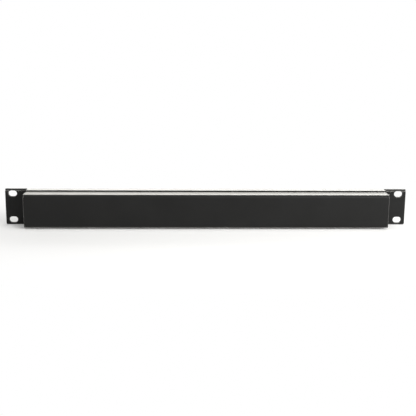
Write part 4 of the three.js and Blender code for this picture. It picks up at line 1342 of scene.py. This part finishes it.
@dataclass
class InputConnector:
    """Male three-contact connector on a D-size flange."""

    bore: float = 16.8
    floor: float = 12.6
    floor_gap: float = 0.6
    catch_half: float = 3.0
    catch_top: float = 10.05
    catch_end: float = 2.6
    key: tuple[float, ...] = (-1.1, 7.3, 1.1, 8.6)
    key_ends: Point = (3.0, 12.3)
    pin: float = 2.4

    def shell(self) -> bpy.types.Mesh:
        """The flange, the barrel, the catch and the key.

        Returns:
            The mesh.
        """
        hole = keyhole(self.bore, self.catch_half, self.catch_top)
        work = connector_flange("input_shell", hole)
        work.lay_in(disc(UNIT.barrel, APART, self.catch_end, [hole], facets=48))
        bore = circle(0, 0, self.bore, facets=44)
        work.fuse(disc(UNIT.barrel, self.catch_end, UNIT.barrel_depth, [bore], facets=48))
        work.fuse(slab(rectangle(*self.key), [], Plane.FRONT, *self.key_ends))
        return work.mesh(z=UNIT.middle)

    def contact(self, index: int) -> bpy.types.Mesh:
        """One contact pin with a domed tip.

        Args:
            index: Which of the three contacts it is.

        Returns:
            The mesh.
        """
        r = self.pin / 2
        dome = [(r * math.sin(math.radians(a)), r - r * math.cos(math.radians(a))) for a in (0, 25, 50, 70, 90)]
        x, z = CONTACTS[index]
        pin = Work("pin", lathe([*dome, (r, UNIT.board_depth), (0, UNIT.board_depth)], 24))
        return pin.mesh(x, z=UNIT.middle + z)

    def build(self) -> None:
        """Makes the connector."""
        show("input_flange", self.shell(), SHELL, "chassis", ["dmx_input_shell"], UNIT.input_x)
        base = Work("input_carrier", disc(self.bore - self.floor_gap, self.floor, UNIT.board_depth))
        show("input_carrier", base.mesh(z=UNIT.middle), MOULDED, "chassis", ["dmx_input_insert"], UNIT.input_x)
        for i in range(len(CONTACTS)):
            node = f"dmx_input_pin_{i + 1}"
            show(f"input_contact_{i + 1}", self.contact(i), SILVER, "chassis", [node], UNIT.input_x)


@dataclass
class FlangeScrews:
    """Countersunk cross-head screws of the connectors and the inlet."""

    head: float = 5.6
    inlet_head: float = 6.4
    core_inset: float = 0.4
    edge: float = 0.22
    proud: float = 0.35
    recess: float = 0.7
    sunk: float = 1.4
    arm_share: float = 0.3
    arm_half: float = 0.36

    def mesh(self, thickness: float, head: float) -> bpy.types.Mesh:
        """One screw at the panel's origin.

        Args:
            thickness: Thickness of the flange that it holds.
            head: Head diameter.

        Returns:
            The mesh.
        """
        arms, seat = cross(0, 0, head * self.arm_share, self.arm_half), self.recess - thickness
        work = Work("screw", disc(head, -thickness - self.proud, seat, [arms], facets=32))
        work.soften(self.edge, angle=50)
        work.lay_in(disc(head - self.core_inset, seat, self.sunk - thickness, facets=24))
        return work.mesh(z=UNIT.middle)

    def build(self) -> None:
        """Makes the screws."""
        small = self.mesh(UNIT.flange_thickness, self.head)
        for i, x in enumerate(UNIT.connectors):
            for j, (dx, dz) in enumerate(UNIT.screw_places):
                show(f"flange_screw_{i + 1}_{j + 1}", small, SCREW, "chassis", x=x + dx, z=dz)
        large = self.mesh(UNIT.inlet_thickness, self.inlet_head)
        for j, dx in enumerate((-UNIT.inlet_screw_x, UNIT.inlet_screw_x)):
            show(f"inlet_screw_{j + 1}", large, SCREW, "chassis", x=UNIT.inlet_x + dx)


@dataclass
class MainsInlet:
    """Three-blade inlet over a fuse drawer."""

    flange: Point = (50.0, 31.0)
    flange_corner: float = 5.0
    flange_edge: float = 0.6
    screw_hole: float = 3.4
    block: tuple[float, ...] = (-14.0, -14.3, 14.0, 14.3)
    block_rear: float = 17.0
    recess_z: float = 4.7
    recess_half: float = 12.2
    recess_height: float = 16.4
    recess_chamfer: float = 4.6
    recess_corner: float = 1.2
    recess_floor: float = 12.5
    pocket_z: float = -8.9
    pocket: Point = (22.6, 8.0)
    pocket_corner: float = 0.8
    pocket_floor: float = 11.8
    blade_reach: float = 12.0
    blade_rear: float = 17.3
    blade_half: Point = (1.0, 2.0)
    blade_nose: float = 1.0
    blade_edge: float = 0.35
    tab_rear: float = 24.0
    tab_half: Point = (0.4, 2.4)
    drawer: Point = (22.0, 7.4)
    drawer_levels: tuple[float, ...] = (-3.6, -2.4, 1.8, 7.8, 11.5)
    drawer_overlap: float = 0.4
    drawer_edge: float = 0.3
    tray_wall: float = 0.75
    notch_half: float = 4.5
    notch_slope: float = 0.6
    notch_depth: float = 1.2
    blades: tuple[tuple[str, float, float, float], ...] = (
        ("live", 7.0, 2.7, 0.0), ("neutral", -7.0, 2.7, 0.0), ("earth", 0.0, 6.7, 1.2),
    )
    fuse_y: float = 4.85
    fuse_half: float = 10.0
    fuse_glass: Point = (2.4, 5.0)
    cap_radius: float = 2.6
    cap_inner: float = 4.6
    cap_edge: float = 0.3

    def recess(self) -> Outline:
        """The recess for a cord's socket, with its two cut corners.

        Returns:
            Its outline.
        """
        x, c, r = self.recess_half, self.recess_chamfer, self.recess_corner
        low, high = self.recess_z - self.recess_height / 2, self.recess_z + self.recess_height / 2
        return [
            *arc(-x + r, low + r, r, 180, 270, 4),
            *arc(x - r, low + r, r, 270, 360, 4),
            (x, high - c),
            (x - c, high),
            (-x + c, high),
            (-x, high - c),
        ]

    def body(self) -> bpy.types.Mesh:
        """The flange and the moulding behind it.

        Returns:
            The mesh.
        """
        recess, pocket = self.recess(), rounded(0, self.pocket_z, *self.pocket, self.pocket_corner, 4)
        screws = [circle(x, 0, self.screw_hole, 20) for x in (-UNIT.inlet_screw_x, UNIT.inlet_screw_x)]
        edge = rounded(0, 0, *self.flange, self.flange_corner, 8)
        flange = slab(edge, [recess, pocket, *screws], Plane.FRONT, -UNIT.inlet_thickness, 0)
        work = Work("inlet", flange).soften(self.flange_edge, segments=3)
        block = rectangle(*self.block)
        work.lay_in(slab(block, [recess, pocket], Plane.FRONT, APART, self.pocket_floor))
        work.fuse(slab(block, [recess], Plane.FRONT, self.pocket_floor, self.recess_floor))
        work.fuse(slab(block, [], Plane.FRONT, self.recess_floor, self.block_rear))
        return work.mesh(z=UNIT.middle)

    def blade(self, x: float, z: float, extra: float) -> bpy.types.Mesh:
        """One blade with its pointed nose, and its tab at the rear.

        Args:
            x: Place from the inlet's middle.
            z: Height from the inlet's middle.
            extra: How much longer than the others it is.

        Returns:
            The mesh.
        """
        tip, rear, nose = self.recess_floor - self.blade_reach - extra, self.blade_rear, self.blade_nose
        wide, high = self.blade_half
        lower = [(tip, nose - high), (tip + nose, -high), (rear, -high)]
        edge = lower + [(y, -z) for y, z in reversed(lower)]
        work = Work("blade", slab(edge, [], Plane.END, -wide, wide)).soften(self.blade_edge, angle=30)
        thin, tall = self.tab_half
        work.fuse(slab(rectangle(rear, -tall, self.tab_rear, tall), [], Plane.END, -thin, thin))
        return work.mesh(x, z=UNIT.middle + z)

    def tray(self) -> bpy.types.Mesh:
        """The fuse drawer: a cap with a finger notch, and the channel for the fuse behind it.

        Returns:
            The mesh.
        """
        wide, high = self.drawer[0] / 2, self.drawer[1] / 2
        inner, floor = wide - self.tray_wall, self.tray_wall - high
        front, back, start, end, rear = self.drawer_levels
        notch = [
            (-self.notch_half, -high),
            (self.notch_slope - self.notch_half, self.notch_depth - high),
            (self.notch_half - self.notch_slope, self.notch_depth - high),
            (self.notch_half, -high),
        ]
        cap = [(-wide, -high), *notch, (wide, -high), (wide, high), (-wide, high)]
        block = rectangle(-wide, -high, wide, high)
        channel = [
            (-wide, -high), (wide, -high), (wide, high), (inner, high),
            (inner, floor), (-inner, floor), (-inner, high), (-wide, high),
        ]
        work = Work("tray", slab(cap, [], Plane.FRONT, front, back)).soften(self.drawer_edge, angle=50)
        work.fuse(slab(block, [], Plane.FRONT, back, start))
        work.fuse(slab(channel, [], Plane.FRONT, start - self.drawer_overlap, end + self.drawer_overlap))
        work.fuse(slab(block, [], Plane.FRONT, end, rear))
        return work.mesh(z=UNIT.middle + self.pocket_z)

    def fuse(self) -> dict[str, bpy.types.Mesh]:
        """The fuse's glass and its two caps.

        Returns:
            The meshes.
        """
        turn = Matrix.Rotation(math.radians(90), 4, "Z")
        tube, half = self.fuse_glass
        end, radius, inner, edge = self.fuse_half, self.cap_radius, self.cap_inner, self.cap_edge
        cap = [(0, -end), (radius - edge, -end), (radius, edge - end), (radius, -inner), (0, -inner)]
        caps = Work("caps", lathe(cap, 24)).lay_in(lathe([(r, -y) for r, y in reversed(cap)], 24))
        glass = Work("glass", lathe([(0, -half), (tube, -half), (tube, half), (0, half)], 24))
        at = {"y": self.fuse_y, "z": UNIT.middle + self.pocket_z}
        return {"glass": glass.mesh(**at, turn=turn), "caps": caps.mesh(**at, turn=turn)}

    def build(self) -> None:
        """Makes the inlet."""
        x = UNIT.inlet_x
        show("inlet_moulding", self.body(), MOULDED, "chassis", ["mains_inlet_body"], x)
        for name, dx, dz, extra in self.blades:
            show(f"inlet_{name}", self.blade(dx, dz, extra), TINNED, "chassis", [f"mains_inlet_{name}_blade"], x)
        show("fuse_tray", self.tray(), MOULDED, "fuse_tray", ["fuse_drawer"], x)
        parts = self.fuse()
        show("fuse_tube", parts["glass"], FUSE_GLASS, "fuse_tray", ["fuse"], x)
        show("fuse_caps", parts["caps"], SILVER, "fuse_tray", x=x)


@dataclass
class PowerSwitch:
    """Rocker switch in a snap-in frame."""

    bezel: Point = (15.0, 21.0)
    bezel_corner: float = 1.2
    bezel_thickness: float = 2.0
    bezel_edge: float = 0.5
    window: Point = (11.2, 17.4)
    window_corner: float = 0.4
    box: Point = (13.4, 19.6)
    box_corner: float = 0.5
    box_floor: float = 7.0
    box_rear: float = 15.0
    tabs: tuple[float, ...] = (-6.5, 0.0, 6.5)
    tab_half: Point = (2.4, 0.4)
    tab_rear: float = 22.0
    pivot_y: float = 1.6
    tilt: float = 11.0
    radius: float = 8.4
    half_width: float = 5.3
    edge: float = 0.35
    horn_angle: float = 60.0
    back_angle: float = 65.0
    dish: float = 1.6
    dish_power: float = 1.25
    dish_steps: int = 12
    mark_z: float = 4.2
    mark_ends: Point = (-0.03, 0.05)
    bar_half: Point = (0.22, 1.3)
    ring: Point = (2.8, 1.95)

    def frame(self) -> bpy.types.Mesh:
        """The bezel, the box behind it and its three tabs.

        Returns:
            The mesh.
        """
        window = rounded(0, 0, *self.window, self.window_corner, 3)
        bezel = slab(rounded(0, 0, *self.bezel, self.bezel_corner), [window], Plane.FRONT, -self.bezel_thickness, 0)
        work = Work("bezel", bezel).soften(self.bezel_edge, segments=3)
        outer = rounded(0, 0, *self.box, self.box_corner, 3)
        work.lay_in(slab(outer, [window], Plane.FRONT, APART, self.box_floor))
        work.fuse(slab(outer, [], Plane.FRONT, self.box_floor, self.box_rear))
        wide, high = self.tab_half
        for z in self.tabs:
            tab = rectangle(-wide, z - high, wide, z + high)
            work.fuse(slab(tab, [], Plane.FRONT, self.box_rear, self.tab_rear))
        return work.mesh(z=UNIT.middle)

    def face(self, z: float) -> float:
        """Depth of the rocker's dished face at a height, from its pivot."""
        horn, edge = self._horn()
        return edge + self.dish * (1 - abs(z / horn) ** self.dish_power)

    def _tilted(self) -> Matrix:
        """The turn of the rocker about its pivot when it is off."""
        return Matrix.Rotation(math.radians(self.tilt), 4, "X")

    def _horn(self) -> Point:
        """Height and depth of the face's upper end, from the pivot."""
        turn = math.radians(self.horn_angle)
        return self.radius * math.sin(turn), -self.radius * math.cos(turn)

    def rocker(self) -> bpy.types.Mesh:
        """The rocker at rest, switched off.

        Returns:
            The mesh.
        """
        horn, _ = self._horn()
        levels = [horn * (1 - i / self.dish_steps) for i in range(2 * self.dish_steps + 1)]
        profile = [(self.face(z), z) for z in levels]
        profile += arc(0, 0, self.radius, 180 + self.horn_angle, 360 - self.back_angle, 6)[1:]
        profile += arc(0, 0, self.radius, self.back_angle, 180 - self.horn_angle, 6)[:-1]
        work = Work("rocker", slab(profile, [], Plane.END, -self.half_width, self.half_width))
        work.soften(self.edge, segments=3, angle=45)
        return work.mesh(y=self.pivot_y, z=UNIT.middle, turn=self._tilted())

    def marks(self) -> bpy.types.Mesh:
        """The bar and the ring that tell on from off, each laid on the face's slope.

        Returns:
            The mesh.
        """
        wide, high = self.bar_half
        outer, inner = self.ring
        bar = Work("marks", slab(rectangle(-wide, -high, wide, high), [], Plane.FRONT, *self.mark_ends))
        ring = Work("ring", disc(outer, *self.mark_ends, [circle(0, 0, inner, 32)], 32))
        lean = math.atan2(self.face(self.mark_z + 1) - self.face(self.mark_z - 1), 2)
        for mark, side in ((bar, 1), (ring, -1)):
            lay = Matrix.Translation((0, self.face(self.mark_z), side * self.mark_z))
            mark.object.data.transform(lay @ Matrix.Rotation(-side * lean, 4, "X"))
        bar.lay_in(ring.body())
        return bar.mesh(y=self.pivot_y, z=UNIT.middle, turn=self._tilted())

    def build(self) -> None:
        """Makes the switch."""
        show("switch_bezel", self.frame(), MOULDED, "chassis", ["switch_frame"], UNIT.switch_x)
        show("rocker", self.rocker(), ROCKER, "rocker", ["switch_rocker"], UNIT.switch_x)
        show("rocker_marks", self.marks(), PRINT, "rocker", x=UNIT.switch_x)


@dataclass
class StatusLights:
    """Light pipes with domed ends."""

    proud: float = 0.9

    def build(self) -> None:
        """Makes the pipes."""
        r = UNIT.light_diameter / 2
        dome = [(r * math.sin(math.radians(a)), -self.proud * math.cos(math.radians(a))) for a in range(0, 91, 15)]
        pipe = Work("pipe", lathe([*dome, (r, UNIT.board_depth), (0, UNIT.board_depth)], 28))
        data = pipe.mesh(z=UNIT.middle + UNIT.light_rise)
        for name, x in UNIT.lights:
            show(f"{name}_lens", data, PIPE, "chassis", [name], x)


@dataclass
class PanelPrint:
    """The outputs' numbers, printed over the connectors."""

    size: float = 3.6
    height: float = 39.2
    raised: float = 0.01

    def build(self) -> None:
        """Prints the numbers."""
        upright = Matrix.Rotation(math.radians(90), 4, "X")
        at = Matrix.Translation((0, UNIT.front_in_row - self.raised, self.height))
        for i, x in enumerate(UNIT.outputs):
            text = bpy.data.curves.new("number", "FONT")
            text.body = str(i + 1)
            text.size = self.size
            text.align_x = text.align_y = "CENTER"
            text.extrude = self.raised
            draft = bpy.data.objects.new("number", text)
            bpy.context.scene.collection.objects.link(draft)
            bpy.context.view_layer.update()
            graph = bpy.context.evaluated_depsgraph_get()
            data = bpy.data.meshes.new_from_object(draft.evaluated_get(graph))
            bpy.data.objects.remove(draft)
            data.transform(Matrix.Scale(MILLIMETRE, 4) @ at @ upright)
            data.materials.clear()
            show(f"output_number_{i + 1}", data, PRINT, "chassis", x=x)


@dataclass
class FrameFinishes:
    """Finishes of the CAD nodes, by their material slots."""

    record: dict
    nodes: dict

    def build(self) -> None:
        """Gives every CAD node its finish."""
        by_slot = {finish.slot: finish for finish in FINISHES}
        for row in self.record["subparts"]:
            data = self.nodes[row["node"]].data
            data.materials.clear()
            data.materials.append(by_slot[row["material_slot"]].material())
        LOG.info("dressed %d CAD nodes", len(self.record["subparts"]))


@dataclass(frozen=True)
class SoftBox:
    """A soft box: its place and size in metres, and the radiance of its face."""

    name: str
    at: Color
    size: Point
    radiance: float
    tint: Color = (1.0, 0.995, 0.975)


@dataclass
class Studio:
    """Floor, backdrop, lamps and camera."""

    distance: float = 0.8816
    elevation: float = 11.036
    azimuth: float = -1.407
    roll: float = 0.350
    focal: float = 729.18
    frame: float = 416.0
    sensor: float = 36.0
    clip: Point = (0.01, 50.0)
    centre_x: float = -1.38
    centre_y: float = -1.21
    target: Color = (0.0, -0.01065, 0.0218)
    floor_half: float = 6.0
    floor_paper: tuple[Color, Color] = ((0.96, 0.96, 0.96), (0.98, 0.98, 0.98))
    floor_fibre: float = 2.0
    floor_stretch: Color = (1.0, 1.6, 1.0)
    floor_fade: Point = (0.2, 0.42)
    ambient: float = 0.18
    lamps: tuple[SoftBox, ...] = (
        SoftBox("overhead", (0.0, 0.0, 1.5), (2.0, 1.0), 1.6),
        SoftBox("behind", (-0.4, -1.4, 0.6), (2.0, 0.5), 4.0),
        SoftBox("side", (-1.7, 0.6, 0.5), (0.8, 0.8), 8.0),
        SoftBox("key", (-1.2, 1.0, 0.5), (1.1, 0.8), 8.0),
        SoftBox("fill", (-1.0, 1.7, 0.6), (1.8, 0.6), 5.4),
    )

    def camera(self) -> None:
        """The camera at the photograph's viewing angle."""
        e, az, roll = (math.radians(v) for v in (self.elevation, self.azimuth, self.roll))
        back = Vector((-math.sin(az) * math.cos(e), math.cos(az) * math.cos(e), math.sin(e)))
        right = Vector((-math.cos(az), -math.sin(az), 0.0))
        up = back.cross(right)
        across = math.cos(roll) * right + math.sin(roll) * up
        upward = -math.sin(roll) * right + math.cos(roll) * up
        data = bpy.data.cameras.new("camera")
        data.sensor_width = self.sensor
        data.lens = self.focal / self.frame * data.sensor_width
        data.shift_x = -self.centre_x / self.frame
        data.shift_y = self.centre_y / self.frame
        data.clip_start, data.clip_end = self.clip
        camera = bpy.data.objects.new("camera", data)
        bpy.context.scene.collection.objects.link(camera)
        turn = Matrix((across, upward, back)).transposed().to_4x4()
        camera.matrix_world = Matrix.Translation(Vector(self.target) + back * self.distance) @ turn
        bpy.context.scene.camera = camera

    def lamp(self, box: SoftBox) -> None:
        """Sets up a soft box that faces the unit.

        Args:
            box: The soft box.
        """
        data = bpy.data.lights.new(box.name, "AREA")
        data.shape = "RECTANGLE"
        data.size, data.size_y = box.size
        data.energy = math.pi * box.size[0] * box.size[1] * box.radiance
        data.color = box.tint
        lamp = bpy.data.objects.new(box.name, data)
        bpy.context.scene.collection.objects.link(lamp)
        lamp.location = box.at
        lamp.rotation_mode = "QUATERNION"
        lamp.rotation_quaternion = (Vector(box.at) - Vector(self.target)).to_track_quat("Z", "Y")

    def floor(self) -> None:
        """The pale floor, lit near the unit and white to the camera and in reflections further out."""
        mesh = bmesh.new()
        bmesh.ops.create_grid(mesh, x_segments=1, y_segments=1, size=self.floor_half)
        data = bpy.data.meshes.new("floor")
        mesh.to_mesh(data)
        mesh.free()
        nodes = Nodes("floor_paper")
        nodes.set(Roughness=0.9, Specular_IOR_Level=0.1)
        fibre = nodes.noise(self.floor_fibre)
        nodes.link(nodes.blend(fibre, *self.floor_paper), nodes.shader.inputs["Base Color"])
        reach = nodes.add("ShaderNodeVectorMath")
        reach.operation = "LENGTH"
        nodes.link(nodes.stretched(self.floor_stretch), reach.inputs[0])
        far = nodes.add("ShaderNodeMath")
        far.operation = "MULTIPLY"
        nodes.link(nodes.span(reach.outputs["Value"], 0.0, 1.0, *self.floor_fade), far.inputs[0])
        nodes.link(seen_rays(nodes.tree), far.inputs[1])
        white = nodes.add("ShaderNodeEmission")
        white.inputs["Strength"].default_value = 1.0
        ends = nodes.add("ShaderNodeMixShader")
        nodes.link(far.outputs["Value"], ends.inputs["Fac"])
        nodes.link(nodes.shader.outputs["BSDF"], ends.inputs[1])
        nodes.link(white.outputs["Emission"], ends.inputs[2])
        nodes.link(ends.outputs["Shader"], nodes.output.inputs["Surface"])
        data.materials.append(nodes.material)
        floor = bpy.data.objects.new("floor", data)
        bpy.context.scene.collection.objects.link(floor)
        floor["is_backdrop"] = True

    def backdrop(self) -> None:
        """A white surround for the camera, glossy and transmitted rays, and a softer one for the light."""
        world = bpy.data.worlds.new("studio")
        bpy.context.scene.world = world
        world.use_nodes = True
        tree = world.node_tree
        tree.nodes.clear()
        output = tree.nodes.new("ShaderNodeOutputWorld")
        mix = tree.nodes.new("ShaderNodeMixShader")
        soft = tree.nodes.new("ShaderNodeBackground")
        white = tree.nodes.new("ShaderNodeBackground")
        soft.inputs["Strength"].default_value = self.ambient
        white.inputs["Strength"].default_value = 1.0
        for surround in (soft, white):
            surround.inputs["Color"].default_value = (1.0, 1.0, 1.0, 1.0)
        tree.links.new(seen_rays(tree), mix.inputs["Fac"])
        tree.links.new(soft.outputs["Background"], mix.inputs[1])
        tree.links.new(white.outputs["Background"], mix.inputs[2])
        tree.links.new(mix.outputs["Shader"], output.inputs["Surface"])

    def build(self) -> None:
        """Sets up the studio."""
        self.camera()
        self.floor()
        self.backdrop()
        for lamp in self.lamps:
            self.lamp(lamp)
        bpy.context.scene.view_settings.view_transform = "Standard"
        LOG.info("studio ready with %d lamps", len(self.lamps))


def seen_rays(tree: bpy.types.NodeTree) -> Socket:
    """Whether a ray comes from the camera, a reflection or a clear piece.

    Args:
        tree: The node tree that asks.

    Returns:
        1 for such a ray and 0 for the rest.
    """
    path = tree.nodes.new("ShaderNodeLightPath")
    seen = path.outputs["Is Camera Ray"]
    for name in ("Is Glossy Ray", "Is Transmission Ray"):
        either = tree.nodes.new("ShaderNodeMath")
        either.operation = "MAXIMUM"
        tree.links.new(seen, either.inputs[0])
        tree.links.new(path.outputs[name], either.inputs[1])
        seen = either.outputs["Value"]
    return seen


def corners() -> list[list[float]]:
    """The shown object's lowest and highest corners as plain lists."""
    return [list(corner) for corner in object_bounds()]


def main() -> None:
    """Builds the whole scene."""
    logging.basicConfig(level=logging.INFO, format="%(message)s")
    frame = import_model()
    FrameFinishes(frame["record"], frame["nodes"]).build()
    FrontPanel().build()
    RearHousing().build()
    InputConnector().build()
    kit: dict[str, bpy.types.Mesh] = {}
    SocketConnector("link", UNIT.link_x).build(kit)
    for i, x in enumerate(UNIT.outputs):
        SocketConnector(f"output_{i + 1}", x).build(kit)
    FlangeScrews().build()
    MainsInlet().build()
    PowerSwitch().build()
    StatusLights().build()
    PanelPrint().build()
    Studio().build()
    LOG.info("sizes written")


if __name__ == "__main__":
    main()
